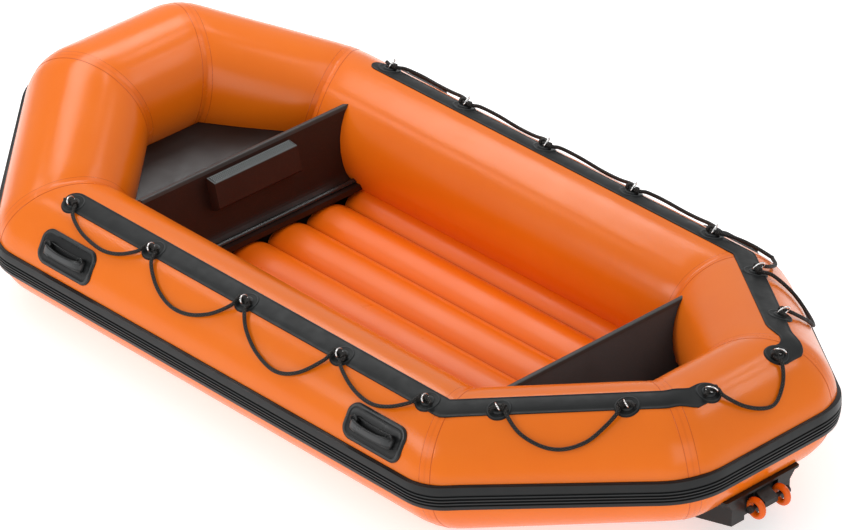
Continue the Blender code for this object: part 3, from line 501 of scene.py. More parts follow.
def tube_point(segment, along, angle, radius):
    """A point on or off a tube, carried round the outer side of the bend if it lies past the tube's end."""
    start, direction = FRAMES[segment][:2]
    arm = tube_axes(segment, angle)[2] * radius
    past_end = along > segment_length(segment) / 2
    corner = (segment + 1) % len(CORNERS) if past_end else segment
    past = along - segment_length(segment) if past_end else -along
    axis, half = corner_bend(corner)
    reach = arm.dot(direction.cross(axis))
    if past <= 0 or reach <= 0:
        return start + direction * along + arm
    way = 1 if past_end else -1
    return CORNERS[corner] + Matrix.Rotation(way * min(past / reach, half), 3, axis) @ arm


def seam_point(segment, end, distance, angle, radius):
    """A point a distance from a mitre along a tube: round the bend on its outer side, creased on its inner."""
    corner = (segment + end) % len(CORNERS)
    direction = FRAMES[segment][1]
    way = 1 if end else -1
    arm = tube_axes(segment, angle)[2] * radius
    axis, half = corner_bend(corner)
    reach = arm.dot(direction.cross(axis))
    if reach <= 0:
        return CORNERS[corner] + arm + direction * way * (reach * math.tan(half) - distance)
    if distance < reach * half:
        return CORNERS[corner] + Matrix.Rotation(way * (half - distance / reach), 3, axis) @ arm
    return CORNERS[corner] + arm - direction * way * (distance - reach * half)


def line_length(segment, angle, radius):
    """Length of a line on a tube's surface from mitre to mitre."""
    total = segment_length(segment)
    arm = tube_axes(segment, angle)[2] * radius
    for end in (0, 1):
        axis, half = corner_bend((segment + end) % len(CORNERS))
        reach = arm.dot(FRAMES[segment][1].cross(axis))
        total += reach * half if reach > 0 else reach * math.tan(half)
    return total


def seam_draw(distance, angle):
    """How far the fabric stands inside its full radius, near a seam."""
    turn = math.radians(angle)
    pucker = math.sin(7 * turn + 1.3) + 0.6 * math.sin(13 * turn)
    return math.exp(-(distance / SEAM_REACH) ** 2) * (SEAM_PINCH + SEAM_PUCKER * pucker)


def skin_point(segment, end, distance, angle, height=0.0):
    """A point of the inflated skin, a distance along the tube from one of its mitres."""
    return seam_point(segment, end, distance, angle, TUBE_RADIUS - seam_draw(distance, angle) + height)


def tube_angles():
    return [360.0 * k / TUBE_AROUND for k in range(TUBE_AROUND)]


def build_tube(segment, name):
    """One tube: a fine sweep between its mitres, drawn in and faintly puckered at both seams."""
    columns = []
    for angle in tube_angles():
        scale = min(1.0, 0.42 * line_length(segment, angle, TUBE_RADIUS) / SEAM_STEPS[-1])
        first = [skin_point(segment, 0, d * scale, angle) for d in SEAM_STEPS]
        last = [skin_point(segment, 1, d * scale, angle) for d in reversed(SEAM_STEPS)]
        middle = [first[-1].lerp(last[0], k / MIDDLE_STEPS) for k in range(1, MIDDLE_STEPS)]
        columns.append(first + middle + last)
    rows = len(columns[0])
    points = [column[r] for r in range(rows) for column in columns]
    mesh = mesh_from(name, points, sheet_faces(rows, TUBE_AROUND, True))
    add_piece("skin_" + name, mesh, TUBE_FABRIC, nodes=["tube_" + name])


def build_tape(corner):
    """The welded tape that covers a mitre, with a thin edge on both sides darkened by painted shade, and a faint
    darker line along the mitre.
    """
    before = (corner - 1) % len(CORNERS)
    # Steps: distance from the mitre, height above the skin and share of painted shade, strongest at the tape's edges.
    steps = [(TAPE_HALF + 0.0012, -0.0008, 0.0), (TAPE_HALF + 0.0006, TAPE_THICKNESS * 0.3, 1.0),
             (TAPE_HALF - 0.0006, TAPE_THICKNESS, 1.0), (TAPE_HALF - 0.003, TAPE_THICKNESS, 0.0),
             (0.012, TAPE_THICKNESS, 0.0), (0.006, TAPE_THICKNESS, 0.0)]
    points, edge = [], []
    for distance, height, shade in steps:
        points += [skin_point(before, 1, distance, angle, height) for angle in tube_angles()]
        edge += [shade] * TUBE_AROUND
    for distance, height, shade in [(0.0, TAPE_THICKNESS, 0.25)] + list(reversed(steps)):
        points += [skin_point(corner, 0, distance, angle, height) for angle in tube_angles()]
        edge += [shade] * TUBE_AROUND
    mesh = mesh_from("tape", points, sheet_faces(2 * len(steps) + 1, TUBE_AROUND, True), edge)
    add_piece("seam_tape_{}".format(corner + 1), mesh, TAPE_FABRIC)


# The rubbing strake

def strake_height(share):
    """Height of the strake's face above its base, across the ribs from 0 to 1."""
    return STRAKE_RIB * max(smooth_step(share, low, low + 0.018) * smooth_step(-share, -high, -high + 0.018)
                            for low, high in STRAKE_RIBS)


def strake_section():
    """Section as angle, radius and a shade for the rib crowns."""
    low, high = STRAKE_LOW_ANGLE, STRAKE_HIGH_ANGLE
    section = [(high + 0.35, TUBE_RADIUS - 0.003, 0.0), (high + 0.35, TUBE_RADIUS + 0.004, 0.0)]
    shares = [k / 24 for k in range(25)]
    for start, end in STRAKE_RIBS:
        shares += [start, start + 0.009, start + 0.018, end - 0.018, end - 0.009, end]
    for share in sorted(set(shares)):
        lift = strake_height(share)
        bulge = 0.0012 * math.sin(math.pi * share)
        section.append((high + (low - high) * share, TUBE_RADIUS + STRAKE_BASE + lift - 0.0012 + bulge,
                        smooth_step(lift, STRAKE_RIB * 0.75, STRAKE_RIB) * (0.5 if 0.36 < share < 0.75 else 0.05)))
    section += [(low - 0.35, TUBE_RADIUS + 0.004, 0.0), (low - 0.35, TUBE_RADIUS - 0.003, 0.0)]
    return list(reversed(section))


def build_strake():
    """The ribbed strake, one closed run round the ring that turns a little towards bow and stern."""
    section = strake_section()
    points, edge = [], []
    rows = 0
    for segment in range(len(CORNERS)):
        first, last = STRAKE_TWISTS[segment], STRAKE_TWISTS[(segment + 1) % len(CORNERS)]
        places = [(0, distance) for distance in BEND_STEPS] + [(1, distance) for distance in reversed(BEND_STEPS[1:])]
        for end, distance in places:
            turn = first if end == 0 else last
            for angle, radius, shade in section:
                points.append(seam_point(segment, end, distance, angle + turn, radius))
                edge.append(shade)
            rows += 1
    mesh = mesh_from("strake", points, sheet_faces(rows, len(section), False, True), edge)
    add_piece("rubbing_strake", mesh, STRAKE_RUBBER, nodes=["strake_" + n for n in SEGMENTS], smooth=50)


# Wear strips with patches, bosses and eyes

def strip_section():
    """Section of the strip as share of its half width, height above the tube and shade, hems along both edges."""
    top = STRIP_THICKNESS - 0.0002
    half = [(1.0, -0.0015, 0.0), (1.0, top * 0.55, 0.0), (0.990, top * 0.85, 0.3), (0.972, top, 0.35),
            (0.92, top, 0.12), (0.895, top - 0.0007, 0.0), (0.70, top - 0.0007, 0.0), (0.45, top - 0.0005, 0.0),
            (0.20, top - 0.0004, 0.0)]
    return [(-share, height, shade) for share, height, shade in half] + list(reversed(half))


def strip_places(side):
    """Rows of a strip from its bow tip to its stern tip: segment, end or None, distance, twist."""
    if side == "port":
        quarter, stern, last_twist, tip = 7, 7, STRIP_STERN_TWIST_PORT, STRIP_STERN_TIP_PORT
        start, way, segments = STRIP_BOW_TIP_PORT, -1, (0, 7, 6)
    else:
        quarter, stern, last_twist, tip = 5, 6, STRIP_STERN_TWIST_STARBOARD, STRIP_STERN_TIP_STARBOARD
        start, way, segments = segment_length(4) - STRIP_BOW_TIP_STARBOARD, 1, (4, 5, 6)
    near, far = (0, 1) if way < 0 else (1, 0)
    side_end = 0.13 if way < 0 else segment_length(segments[0]) - 0.13
    places = [(segments[0], None, start + (side_end - start) * k / 40, 0.0) for k in range(41)]
    reach = math.radians(STRIP_HIGH_ANGLE - STRIP_LOW_ANGLE) / 2 * TUBE_RADIUS
    tips = [reach * share for share in (0.0, 0.01, 0.04, 0.10, 0.2, 0.35, 0.55, 0.8, 1.0)]
    places = [(segments[0], None, start + way * tip_step, 0.0) for tip_step in tips] + \
             [p for p in places if abs(p[2] - start) > reach * 1.05]
    bend = (0.095, 0.075, 0.055, 0.035, 0.017, 0.0)
    places += [(segments[0], near, d, 0.0) for d in bend]
    places += [(segments[1], far, d, 0.0) for d in reversed(bend[:-1])]
    length = segment_length(segments[1])
    places += [(segments[1], None, (length - 0.13 - (length - 0.26) * k / 12) if way < 0
                else 0.13 + (length - 0.26) * k / 12, 0.0) for k in range(13)]
    lead = 0.0 if way < 0 else 0.10
    span = 0.09 if way < 0 else 0.15

    def twist(past):
        return last_twist * smooth_step(past, -lead, span - lead)

    places += [(segments[1], near, d, twist(-d)) for d in bend]
    limit = segment_length(6) - tip if way < 0 else tip
    places += [(6, far, d, twist(d)) for d in reversed(bend[:-1]) if d < limit + 0.015 - reach]
    places += [(6, None, tip - way * d, twist(limit - d)) for d in reversed(tips)]
    return places, reach


def build_strip(side, node):
    """A wear strip with rounded tips, led smoothly round the bends into the last patch."""
    section = strip_section()
    places, reach = strip_places(side)
    middle = (STRIP_LOW_ANGLE + STRIP_HIGH_ANGLE) / 2
    half = (STRIP_HIGH_ANGLE - STRIP_LOW_ANGLE) / 2
    tips = (places[0], places[-1])
    points, edge = [], []
    for segment, end, distance, twist in places:
        width = half
        for tip in tips:
            away = abs(distance - tip[2]) if end is None and tip[0] == segment else reach
            if away < reach:
                width = half * max(0.03, math.sqrt(1 - (1 - away / reach) ** 2))
        for share, height, shade in section:
            angle = middle + twist + width * share
            if end is None:
                points.append(tube_point(segment, distance, angle, TUBE_RADIUS + height))
            else:
                points.append(seam_point(segment, end, distance, angle, TUBE_RADIUS + height))
            edge.append(shade)
    mesh = mesh_from(node, points, sheet_faces(len(places), len(section)), edge, recalculate=True)
    add_piece(node + "_band", mesh, STRIP_RUBBER, nodes=[node], smooth=50)


def patch_height(distance):
    """Profile of a patch from its middle outwards: boss, groove, disc and a bead near the rim."""
    if distance < BOSS_RADIUS:
        return BOSS_HIGH - 0.0012 * smooth_step(distance, BOSS_RADIUS - 0.003, BOSS_RADIUS)
    bead = 0.0011 * math.exp(-((distance - PATCH_RADIUS + 0.007) / 0.0022) ** 2)
    groove = 0.0010 * math.exp(-((distance - BOSS_RADIUS - 0.002) / 0.0018) ** 2)
    rim = 0.0035 * smooth_step(distance, PATCH_RADIUS - 0.0025, PATCH_RADIUS)
    return PATCH_THICKNESS - 0.0008 + bead - groove - rim


def build_patch(label, eye):
    """A round patch that follows the tube, with a raised boss in its middle."""
    segment, along, angle = eye
    distances = [0.0001, 0.006, 0.013, 0.019, 0.0205, 0.0215, 0.0222, 0.024, 0.026, 0.030, 0.034, 0.0355, 0.037,
                 0.0385, 0.040, 0.0415, 0.0425, 0.0432, 0.0437, PATCH_RADIUS, PATCH_RADIUS + 0.0001]
    around = 48
    points, edge = [], []
    for k, distance in enumerate(distances):
        height = patch_height(distance) if k < len(distances) - 1 else -0.002
        for j in range(around):
            turn = 2 * math.pi * j / around
            aside = math.degrees(distance * math.sin(turn) / TUBE_RADIUS)
            points.append(tube_point(segment, along + distance * math.cos(turn), angle + aside, TUBE_RADIUS + height))
            edge.append(0.7 if 0.0355 < distance < 0.0386 or 0.0185 < distance < BOSS_RADIUS else 0.0)
    mesh = mesh_from("patch", points, sheet_faces(len(distances), around, True), edge)
    add_piece("patch_" + label, mesh, STRIP_RUBBER, smooth=50)


def tube_along(points, radius, sides, profile=None, close=False):
    """Points and faces of a tube along a line, its section carried without twist."""
    tangents = []
    for i, point in enumerate(points):
        before = points[i - 1] if i or close else point
        after = points[(i + 1) % len(points)] if i < len(points) - 1 or close else point
        tangents.append((after - before).normalized())
    side = tangents[0].orthogonal().normalized()
    verts, shades = [], []
    walked = 0.0
    for i, (point, tangent) in enumerate(zip(points, tangents)):
        if i:
            side = tangents[i - 1].rotation_difference(tangent) @ side
            walked += (point - points[i - 1]).length
        other = tangent.cross(side)
        for k in range(sides):
            turn = 2 * math.pi * k / sides
            lift, shade = profile(turn, walked) if profile else (0.0, 0.0)
            verts.append(point + (side * math.cos(turn) + other * math.sin(turn)) * (radius + lift))
            shades.append(shade)
    faces = sheet_faces(len(points), sides, True, close)
    if not close:
        faces.append(tuple(reversed(range(sides))))
        faces.append(tuple(range((len(points) - 1) * sides, len(points) * sides)))
    return verts, faces, shades


def build_eye(label, eye):
    """The bright ring that leans outboard on its boss, with the short rubber lug it is held by."""
    segment, along, angle = eye
    direction, around, out = tube_axes(segment, angle)
    lean = math.radians(EYE_LEAN)
    up = out * math.cos(lean) - around * math.sin(lean)
    across = direction * math.cos(EYE_TURN) + around * math.sin(EYE_TURN)
    base = tube_point(segment, along, angle, TUBE_RADIUS + BOSS_HIGH + 0.001)
    line = []
    for k in range(33):
        turn = 2 * math.pi * k / 32 - math.pi / 2
        rise = max(math.sin(turn), -0.72)
        line.append(base + across * (RING_RADIUS * math.cos(turn)) + up * (RING_RADIUS * (rise + 0.72)))
    verts, faces, shades = tube_along(line[:-1], RING_WIRE, 12, close=True)
    add_piece("eye_" + label, mesh_from("eye", verts, faces), CHROME)
    saddle = []
    for k in range(13):
        turn = math.pi * k / 12
        saddle.append(base + up.cross(across) * (0.0085 * math.cos(turn)) + out * (0.0075 * math.sin(turn) - 0.004))
    verts, faces, shades = tube_along(saddle, 0.0042, 12)
    add_piece("eye_lug_" + label, mesh_from("lug", verts, faces), HANDLE_RUBBER)


# Grab lines

def rope_point(segment, along, angle):
    """A point of the grab line's centre, lying on the tube and lifted over the patches."""
    lift = ROPE_REST + ROPE_LIFT * smooth_step(angle, LIFT_START, LIFT_END)
    return tube_point(segment, along, angle, TUBE_RADIUS + lift)


def catmull_rom(points, step):
    """Evenly spaced points of a smooth curve through a route."""
    ends = [points[0] * 2 - points[1]] + points + [points[-1] * 2 - points[-2]]
    fine = []
    for a, b, c, d in zip(ends, ends[1:], ends[2:], ends[3:]):
        for k in range(12):
            t = k / 12
            fine.append(0.5 * (2 * b + (c - a) * t + (2 * a - 5 * b + 4 * c - d) * t * t
                               + (3 * b - a - 3 * c + d) * t ** 3))
    fine.append(points[-1])
    total = sum((b - a).length for a, b in zip(fine, fine[1:]))
    count = max(2, round(total / step))
    spaced = [fine[0]]
    walked = 0.0
    for a, b in zip(fine, fine[1:]):
        piece = (b - a).length
        while len(spaced) < count and walked + piece >= total * len(spaced) / count:
            spaced.append(a.lerp(b, (total * len(spaced) / count - walked) / piece))
        walked += piece
    spaced.append(fine[-1])
    return spaced


def loop_points(eye, following, loop):
    """Points of one hanging loop, each given by its share of the way or by its place on the ring."""
    points = []
    for place in loop:
        if len(place) == 2:
            part, angle = place
            place = (eye[0], eye[1] + (following[1] - eye[1]) * part, angle)
        points.append(rope_point(*place))
    return points


def rope_route(eyes, loops, way):
    """Route of a line through its eyes: rounded over each eye, hanging in a loop between two."""
    first, last = eyes[0], eyes[-1]
    points = [rope_point(first[0], first[1] - way * ROPE_TAIL, first[2] - ROPE_DROP)]
    for k, (segment, along, angle) in enumerate(eyes):
        if k:
            points.append(rope_point(segment, along - way * ROPE_CROWN, angle - ROPE_DROP))
        points.append(rope_point(segment, along, angle))
        if k < len(loops):
            points.append(rope_point(segment, along + way * ROPE_CROWN, angle - ROPE_DROP))
            points += loop_points(eyes[k], eyes[k + 1], loops[k])
    points.append(rope_point(last[0], last[1] + way * ROPE_TAIL, last[2] - ROPE_DROP))
    return points


def braid(turn, walked):
    """Height and shade of the braid's strands at a place on the rope."""
    crown = math.cos(4 * turn) * math.cos(2 * math.pi * walked / BRAID_PITCH)
    return BRAID_DEPTH * (abs(crown) - 1), max(0.0, crown)


def build_knots(name, eyes, line):
    """The hitch beside each eye: a few close turns round the rope."""
    knots = []
    for k, eye in enumerate(eyes):
        over = rope_point(*eye)
        middle = min(range(len(line)), key=lambda i: (line[i] - over).length)
        for way in (-1, 1):
            at = middle + way * round(KNOT_REACH / ROPE_STEP)
            if not 6 <= at < len(line) - 6:
                continue
            along = (line[at + 2] - line[at - 2]).normalized()
            side = along.orthogonal().normalized()
            other = along.cross(side)
            coil = []
            for j in range(61):
                turn = 2 * math.pi * j / 20
                radius = ROPE_DIAMETER / 2 + KNOT_WIRE * (0.55 if 4 < j < 56 else 0.1)
                coil.append(line[at] + along * (KNOT_LENGTH * (j / 60 - 0.5))
                            + (side * math.cos(turn) + other * math.sin(turn)) * radius)
            verts, faces, shades = tube_along(coil, KNOT_WIRE, 10, knot_shade)
            label = "{}_knot_{}{}".format(name, k + 1, "a" if way < 0 else "b")
            knots.append(add_piece(label, mesh_from("knot", verts, faces, shades), CORD))
    return knots


def knot_shade(turn, walked):
    return 0.0, max(0.0, math.cos(3 * turn) * math.cos(2 * math.pi * walked / BRAID_PITCH))


def build_rope(name, eyes, loops, way):
    route = rope_route(eyes, loops, way)
    line = catmull_rom(route, ROPE_STEP)
    verts, faces, shades = tube_along(line, ROPE_DIAMETER / 2, 20, braid)
    rope = add_piece(name + "_rope", mesh_from(name, verts, faces, shades), CORD, nodes=[name])
    knots = build_knots(name, eyes, line)


# Carrying handles

def build_handle(name, segment, along):
    """A moulded plate that follows the tube, with a bar over a finger gap."""
    middle = (HANDLE_LOW_ANGLE + HANDLE_HIGH_ANGLE) / 2
    half_length = HANDLE_LENGTH / 2
    half_height = math.radians(HANDLE_HIGH_ANGLE - HANDLE_LOW_ANGLE) * TUBE_RADIUS / 2
    insets = (0.0, 0.0, 0.0008, 0.0028, 0.0058, 0.0068, 0.0080, 0.0125, 0.0138, 0.0152, 0.017, 0.024, 0.034)
    heights = (-0.003, 0.0032, 0.0046, 0.0058, 0.0066, 0.0078, HANDLE_PLATE, HANDLE_PLATE, 0.0072, 0.0052,
               0.0046, 0.0046, 0.0046)
    corner_steps = 10
    points, edge = [], []
    for inset, height in zip(insets, heights):
        radius = max(HANDLE_CORNER - inset, 0.008)
        for quarter, (side, end) in enumerate(((1, 1), (-1, 1), (-1, -1), (1, -1))):
            for k in range(corner_steps):
                turn = math.pi / 2 * (quarter + k / (corner_steps - 1))
                across = side * (half_length - inset - radius) + radius * math.cos(turn)
                up = end * (half_height - inset - radius) + radius * math.sin(turn)
                points.append(tube_point(segment, along + across, middle + math.degrees(up / TUBE_RADIUS),
                                         TUBE_RADIUS + height))
                # Painted highlight along the plate's outer step and inner step.
                edge.append(0.75 if 0.0060 < inset < 0.0085 or 0.012 < inset < 0.0130 else 0.0)
    columns = 4 * corner_steps
    rows = len(insets)
    faces = sheet_faces(rows, columns, True)
    faces.append(tuple(range((rows - 1) * columns, rows * columns)))
    mesh = mesh_from(name, points, faces, edge)
    plate = add_piece(name + "_plate", mesh, HANDLE_RUBBER, nodes=[name])
    build_grip(name, segment, along, middle)


def grip_section(share):
    """Section of the bar at a share of its half length: places across the tube, heights above it and a share of
    painted highlight along the ridge.
    """
    edge = abs(share)
    upper = 0.004 + 0.013 * edge ** 2.2
    lower = -0.025 + 0.003 * edge ** 2
    top = HANDLE_PLATE + (FINGER_GAP + GRIP_DEPTH) * max(0.0, 1 - edge ** 5) ** 0.5
    under = HANDLE_PLATE - 0.004 + (FINGER_GAP - 0.002) * smooth_step(1 - edge, 0.14, 0.42)
    top = max(top, under + 0.003)
    points = []
    for k in range(28):
        turn = 2 * math.pi * k / 28
        c, s = math.cos(turn), math.sin(turn)
        aside = math.copysign(abs(c) ** 0.6, c)
        rise = math.copysign(abs(s) ** 0.6, s)
        place = (upper + lower) / 2 + aside * (upper - lower) / 2
        height = (top + under) / 2 + rise * (top - under) / 2
        if rise > 0:
            height -= 0.012 * rise * (upper - place) / (upper - lower) * (1 - edge ** 4)
        # Painted highlight: the crown of the section, along the bar's ridge, takes the lighter rubber grey.
        points.append((place, height, 0.9 if 0.62 < turn / math.pi * 2 < 1.15 else 0.0))
    return points


def build_grip(name, segment, along, middle):
    """The handle's bar: a wedge with a ridge along its top, hollowed on the upper side for the fingers."""
    direction, around, out = tube_axes(segment, middle)
    half = GRIP_LENGTH / 2 + 0.008
    base = tube_point(segment, along, middle, TUBE_RADIUS)
    points, edge = [], []
    rows = 41
    for i in range(rows):
        share = -math.cos(math.pi * i / (rows - 1)) * 0.995
        for place, height, shade in grip_section(share):
            points.append(base + direction * (half * share) + around * place + out * height)
            edge.append(shade)
    columns = len(points) // rows
    faces = sheet_faces(rows, columns, True)
    faces.append(tuple(range(columns)))
    faces.append(tuple(range((rows - 1) * columns, rows * columns)))
    mesh = mesh_from(name + "_grip", points, faces, edge, recalculate=True)
    add_piece(name + "_grip", mesh, HANDLE_RUBBER, smooth=50)
    for k, share in enumerate((-0.86, 0.86)):
        centre = base + direction * (half * share) + around * 0.013 + out * (HANDLE_PLATE + 0.0145)
        circle = [centre + direction * (0.0125 * math.cos(math.pi * j / 12))
                  + around * (0.0105 * math.sin(math.pi * j / 12)) for j in range(24)]
        verts, faces, shades = tube_along(circle, 0.0032, 10, close=True)
        add_piece("{}_boss_{}".format(name, k + 1), mesh_from("boss", verts, faces), HANDLE_RUBBER)
        verts, faces, shades = tube_along([centre - out * 0.017, centre - out * 0.003, centre - out * 0.001],
                                          0.0112, 20)
        add_piece("{}_post_{}".format(name, k + 1), mesh_from("post", verts, faces), HANDLE_RUBBER)
    line = []
    for j in range(25):
        share = -0.80 + 1.60 * j / 24
        line.append(base + direction * (half * share) + around * (0.0215 - 0.005 * (1 - share ** 2))
                    + out * (HANDLE_PLATE + 0.0005))
    verts, faces, shades = tube_along(line, 0.0030, 10)
    add_piece(name + "_finger_lip", mesh_from("lip", verts, faces), HANDLE_RUBBER)


# Air floor

def floor_profile():
    """Across the floor: sideways place, place within its tube and height above the weld line."""
    arc_radius = ((FLOOR_PITCH / 2) ** 2 + FLOOR_CROWN ** 2) / (2 * FLOOR_CROWN)
    steps = 20
    profile = []
    for tube in range(FLOOR_TUBES):
        centre = (tube - (FLOOR_TUBES - 1) / 2) * FLOOR_PITCH
        for k in range(1 if tube else 0, steps + 1):
            local = FLOOR_PITCH * (k / steps - 0.5)
            height = math.sqrt(arc_radius ** 2 - local ** 2) - arc_radius + FLOOR_CROWN
            profile.append((centre + local, local, height))
    return profile


def build_floor():
    """The six welded floor tubes with domed ends at the bow."""
    profile = floor_profile()
    stations = [(FLOOR_STERN_X + (FLOOR_BOW_X - FLOOR_STERN_X) * k / 30, 0.0) for k in range(31)]
    stations += [(FLOOR_BOW_X, 6.0 * k) for k in range(1, 15)]
    points, edge = [], []
    for x, turn in stations:
        share, rise = math.sin(math.radians(turn)), math.cos(math.radians(turn))
        for y, local, height in profile:
            bulge = FLOOR_DOME * share * math.sqrt(1 - (2 * abs(local) / FLOOR_PITCH) ** 2 * 0.75)
            points.append(Vector((x + bulge, y, FLOOR_WELD_Z + height * rise)))
            # Painted shade: the fabric darkens in the creases where neighbouring floor tubes are welded.
            edge.append(0.8 * smooth_step(abs(local), FLOOR_PITCH * 0.46, FLOOR_PITCH * 0.5))
    columns = len(profile)
    for y, local, height in profile:
        bulge = FLOOR_DOME * math.sqrt(1 - (2 * abs(local) / FLOOR_PITCH) ** 2 * 0.75)
        points.append(Vector((FLOOR_BOW_X + bulge, y, FLOOR_WELD_Z - 0.03)))
        edge.append(0.0)
    faces = [tuple(reversed(f)) for f in sheet_faces(len(stations) + 1, columns)]
    mesh = mesh_from("floor", points, faces, edge)
    add_piece("air_floor_skin", mesh, FLOOR_FABRIC, nodes=["air_floor"], smooth=60)


# Tow rings

def build_tow_ring(side, sign):
    """A thick moulded ring with a faint flash line round it."""
    hang = TOW_RING_MAJOR - TOW_RING_MINOR - TOW_BAR_RADIUS - 0.0005
    centre = Vector((TOW_BAR_X, sign * TOW_RING_Y, TOW_BAR_Z - hang))
    major, minor = 48, 24
    points, edge = [], []
    for i in range(major):
        turn = 2 * math.pi * i / major
        spoke = Vector((math.cos(turn), 0, math.sin(turn)))
        for k in range(minor):
            angle = 2 * math.pi * k / minor
            radius = TOW_RING_MINOR - 0.0004
            points.append(centre + spoke * (TOW_RING_MAJOR + radius * math.cos(angle)) + Vector((0, radius * math.sin(angle), 0)))
            edge.append(0.5 if k in (0, minor // 2) else 0.0)
    mesh = mesh_from("ring", points, sheet_faces(major, minor, True, True), edge, recalculate=True)
    add_piece("tow_ring_{}_moulding".format(side), mesh, RING_PLASTIC, body="tow_ring_" + side,
              nodes=["tow_ring_" + side], smooth=60)


# Board trim

def board_point(foot_x, up, back):
    """A point of a leaning board in X and Z: distance up the board and distance back from its bow face."""
    lean = math.sin(BOARD_LEAN), math.cos(BOARD_LEAN)
    return foot_x + lean[0] * up - lean[1] * back, lean[1] * up + lean[0] * back + TUBE_RADIUS


def board_reach(z):
    return (z - TUBE_RADIUS) / math.cos(BOARD_LEAN)


def build_board_cap(name, face_x, top, half, material):
    """The rounded moulding along a board's upper edge."""
    middle = BOARD_THICKNESS / 2
    up = board_reach(top)
    section = [(-0.0012, -0.013), (-0.0012, -0.003)]
    for k in range(9):
        turn = math.pi * (1 - k / 8)
        section.append((middle + (middle + 0.0012) * math.cos(turn), -0.0025 + 0.0045 * math.sin(turn)))
    section += [(BOARD_THICKNESS + 0.0012, -0.003), (BOARD_THICKNESS + 0.0012, -0.013)]
    points, edge = [], []
    rows = 25
    for i in range(rows):
        y = half * (2 * i / (rows - 1) - 1)
        for back, rise in section:
            x, z = board_point(face_x, up + rise, back)
            points.append(Vector((x, y, z)))
            edge.append(0.8 if rise > 0 else 0.1)
    columns = len(section)
    faces = sheet_faces(rows, columns)
    faces.append(tuple(range(columns)))
    faces.append(tuple(range((rows - 1) * columns, rows * columns)))
    mesh = mesh_from(name, points, faces, edge, recalculate=True)
    add_piece(name, mesh, material, smooth=50)


def build_pad_grip():
    """The ribbed rubber plate on top of the step pad, rows of small studs in a raised rim."""
    face_x = BOW_BOARD_X + BOARD_THICKNESS
    top = board_reach(PAD_TOP)
    low_back, high_back = BOARD_THICKNESS + 0.007, BOARD_THICKNESS + PAD_DEPTH - 0.001
    fall = PAD_TOP_FALL / PAD_DEPTH

    def place(back, y, lift):
        x, z = board_point(face_x, top - fall * (back - BOARD_THICKNESS) + lift, back)
        return Vector((x, y, z))

    points, faces, edge = [], [], []
    rim = [(low_back, -PAD_HALF_LENGTH + 0.001), (high_back, -PAD_HALF_LENGTH + 0.001),
           (high_back, PAD_HALF_LENGTH - 0.001), (low_back, PAD_HALF_LENGTH - 0.001)]
    for lift, inset in ((-0.001, 0.0), (0.0022, 0.0003), (0.0028, 0.0012), (0.0028, 0.0026), (0.0016, 0.0034)):
        for back, y in rim:
            points.append(place(back + (inset if back == low_back else -inset),
                                y + (inset if y < 0 else -inset), lift))
            edge.append(0.6 if lift > 0.002 else 0.1)
    faces += sheet_faces(5, 4, True)
    faces.append((16, 17, 18, 19))
    rows, columns = 5, 46
    for r in range(rows):
        for c in range(columns):
            back = low_back + (high_back - low_back) * (r + 0.75) / (rows + 0.5)
            y = (PAD_HALF_LENGTH - 0.006) * (2 * (c + 0.5 + 0.25 * (r % 2)) / (columns + 0.5) - 1)
            start = len(points)
            for lift, radius in ((0.0014, 0.0030), (0.0030, 0.0024), (0.0036, 0.0012)):
                for k in range(8):
                    turn = 2 * math.pi * k / 8
                    points.append(place(back + radius * math.cos(turn), y + radius * math.sin(turn), lift))
                    edge.append(1.0 if lift > 0.002 else 0.0)
            faces += sheet_faces(3, 8, True, start=start)
            faces.append(tuple(range(start + 16, start + 24)))
    mesh = mesh_from("pad_grip", points, faces, edge, recalculate=True)
    add_piece("step_pad_grip", mesh, PAD_GRIP, smooth=40)


def build_foot_bead():
    """The rounded bead along the board's foot, just above the air floor."""
    line = [Vector((FOOT_BEAD_X, 0.43 - 0.86 * k / 32, FOOT_BEAD_Z)) for k in range(33)]
    verts, faces, shades = tube_along(line, FOOT_BEAD_RADIUS, 20)
    add_piece("bow_board_foot_bead", mesh_from("bead", verts, faces), FOOT_BEAD, smooth=60)


# CAD nodes that keep their shape

def dress(node, material, bevel=0.0, segments=3):
    """Give a CAD node its finish and, where asked, rounded edges."""
    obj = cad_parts[node]
    obj.data.materials.clear()
    obj.data.materials.append(material)
    if bevel:
        modifier = obj.modifiers.new("rounded_edges", "BEVEL")
        modifier.width = bevel
        modifier.segments = segments
        modifier.limit_method = "ANGLE"
        modifier.angle_limit = math.radians(35)


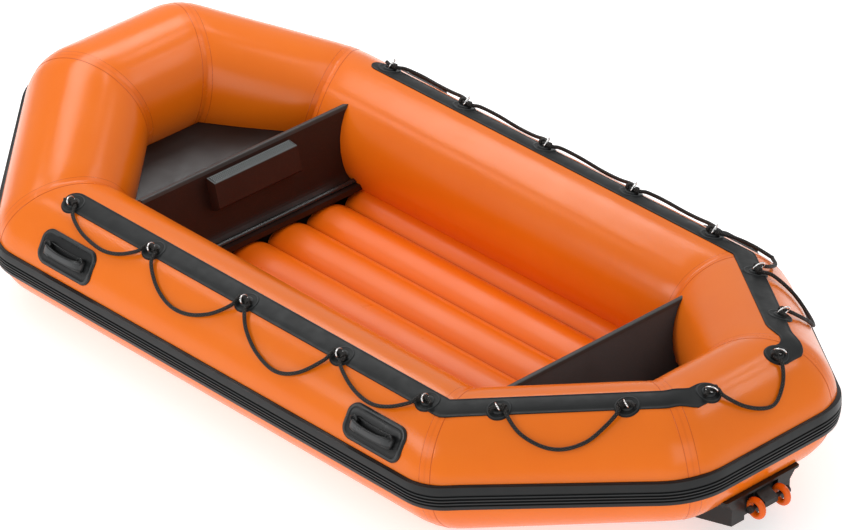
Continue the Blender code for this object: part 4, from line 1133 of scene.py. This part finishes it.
def make_stage():
    """A pale floor and soft studio lights, long boxes overhead whose shapes lie along the tubes."""
    mesh = bpy.data.meshes.new("studio_floor")
    half = 30.0
    mesh.from_pydata([(-half, -half, 0), (half, -half, 0), (half, half, 0), (-half, half, 0)], [], [(0, 1, 2, 3)])
    floor = bpy.data.objects.new("studio_floor", mesh)
    floor.location.z = -0.002
    bpy.context.scene.collection.objects.link(floor)
    surface = Surface("studio_floor_surface", (0.80, 0.80, 0.80), 0.6, specular=0.1)
    surface.shader.inputs["Emission Color"].default_value = (1.0, 1.0, 1.0, 1.0)
    surface.shader.inputs["Emission Strength"].default_value = FLOOR_GLOW
    mesh.materials.append(surface.material)
    world = bpy.data.worlds.new("studio")
    world.use_nodes = True
    world.node_tree.nodes["Background"].inputs["Color"].default_value = (1.0, 1.0, 1.0, 1.0)
    world.node_tree.nodes["Background"].inputs["Strength"].default_value = WORLD_LIGHT
    bpy.context.scene.world = world
    soft_box("key_light", (3.0, -1.4, 4.0), (3.0, -1.4, 0.0), (1.7, 3.6), 95)
    soft_box("port_band", (3.8, 1.35, 4.0), (3.8, 1.35, 0.0), (2.0, 0.55), 14)
    soft_box("bow_box", (1.3, -2.45, 4.0), (1.3, -2.45, 0.0), (0.6, 0.55), 6)
    for k, x in enumerate((-0.25, -1.15, -2.0, -2.6)):
        soft_box("stern_strip_{}".format(k + 1), (x, -2.9, 4.0), (x, -2.9, 0.0), (0.34, 1.5), 9)
    soft_box("side_fill", (1.5, 5.0, 3.2), (0.0, 0.6, 0.2), (3.5, 1.6), 75)
    soft_box("camera_fill", (-7.0, 3.0, 3.5), (0.0, 0.0, 0.2), (4.0, 4.0), 80)


def soft_box(name, place, aim, size, power):
    """A rectangular lamp, its longer sides kept level along the world's axes."""
    data = bpy.data.lights.new(name, "AREA")
    data.shape = "RECTANGLE"
    data.size, data.size_y = size
    data.energy = power
    light = bpy.data.objects.new(name, data)
    light.location = place
    light.rotation_mode = "QUATERNION"
    light.rotation_quaternion = (Vector(aim) - Vector(place)).to_track_quat("-Z", "Y")
    bpy.context.scene.collection.objects.link(light)


def main():
    make_camera()
    bpy.context.scene.view_settings.view_transform = "Standard"
    build_rope("grab_line_port", PORT_EYES[:5], PORT_LOOPS, -1)
    build_rope("grab_line_port_quarter", PORT_EYES[5:7], [PORT_QUARTER_LOOP], -1)
    build_rope("grab_line_stern", [PORT_EYES[7], STARBOARD_EYES[7]], [STERN_LOOP], -1)
    build_rope("grab_line_starboard", STARBOARD_EYES[:7], STARBOARD_LOOPS, 1)
    for segment, name in enumerate(SEGMENTS):
        build_tube(segment, name)
        build_tape(segment)
    build_strake()
    for side, eyes in (("port", PORT_EYES), ("starboard", STARBOARD_EYES)):
        for k, eye in enumerate(eyes):
            label = "{}_{}".format(side, k + 1)
            build_patch(label, eye)
            build_eye(label, eye)
    length = segment_length(0)
    for side, segment in (("port", 0), ("starboard", 4)):
        for place, distance in zip(("bow", "stern"), HANDLE_ALONG):
            along = distance if segment == 0 else length - distance
            build_handle("handle_{}_{}".format(side, place), segment, along)
    build_floor()
    build_tow_ring("port", 1)
    build_tow_ring("starboard", -1)
    build_strip("port", "wear_strip_port")
    build_strip("starboard", "wear_strip_starboard")
    build_board_cap("bow_board_cap", BOW_BOARD_X + BOARD_THICKNESS, BOW_BOARD_TOP, 0.476, BOARD_EDGE)
    build_board_cap("stern_board_cap", STERN_BOARD_X + BOARD_THICKNESS / 2, STERN_BOARD_TOP, 0.456, BOARD_EDGE)
    build_pad_grip()
    build_foot_bead()
    dress("bow_board", BOW_BOARD, 0.004)
    dress("step_pad", PAD_FACE, 0.002)
    dress("stern_board", STERN_BOARD, 0.004)
    for node in ("bow_deck", "stern_deck", "bottom_skin_bow", "bottom_skin_middle", "bottom_skin_stern"):
        dress(node, SKIN)
    dress("tow_bracket", BRACKET_RUBBER, 0.002)
    make_stage()


main()
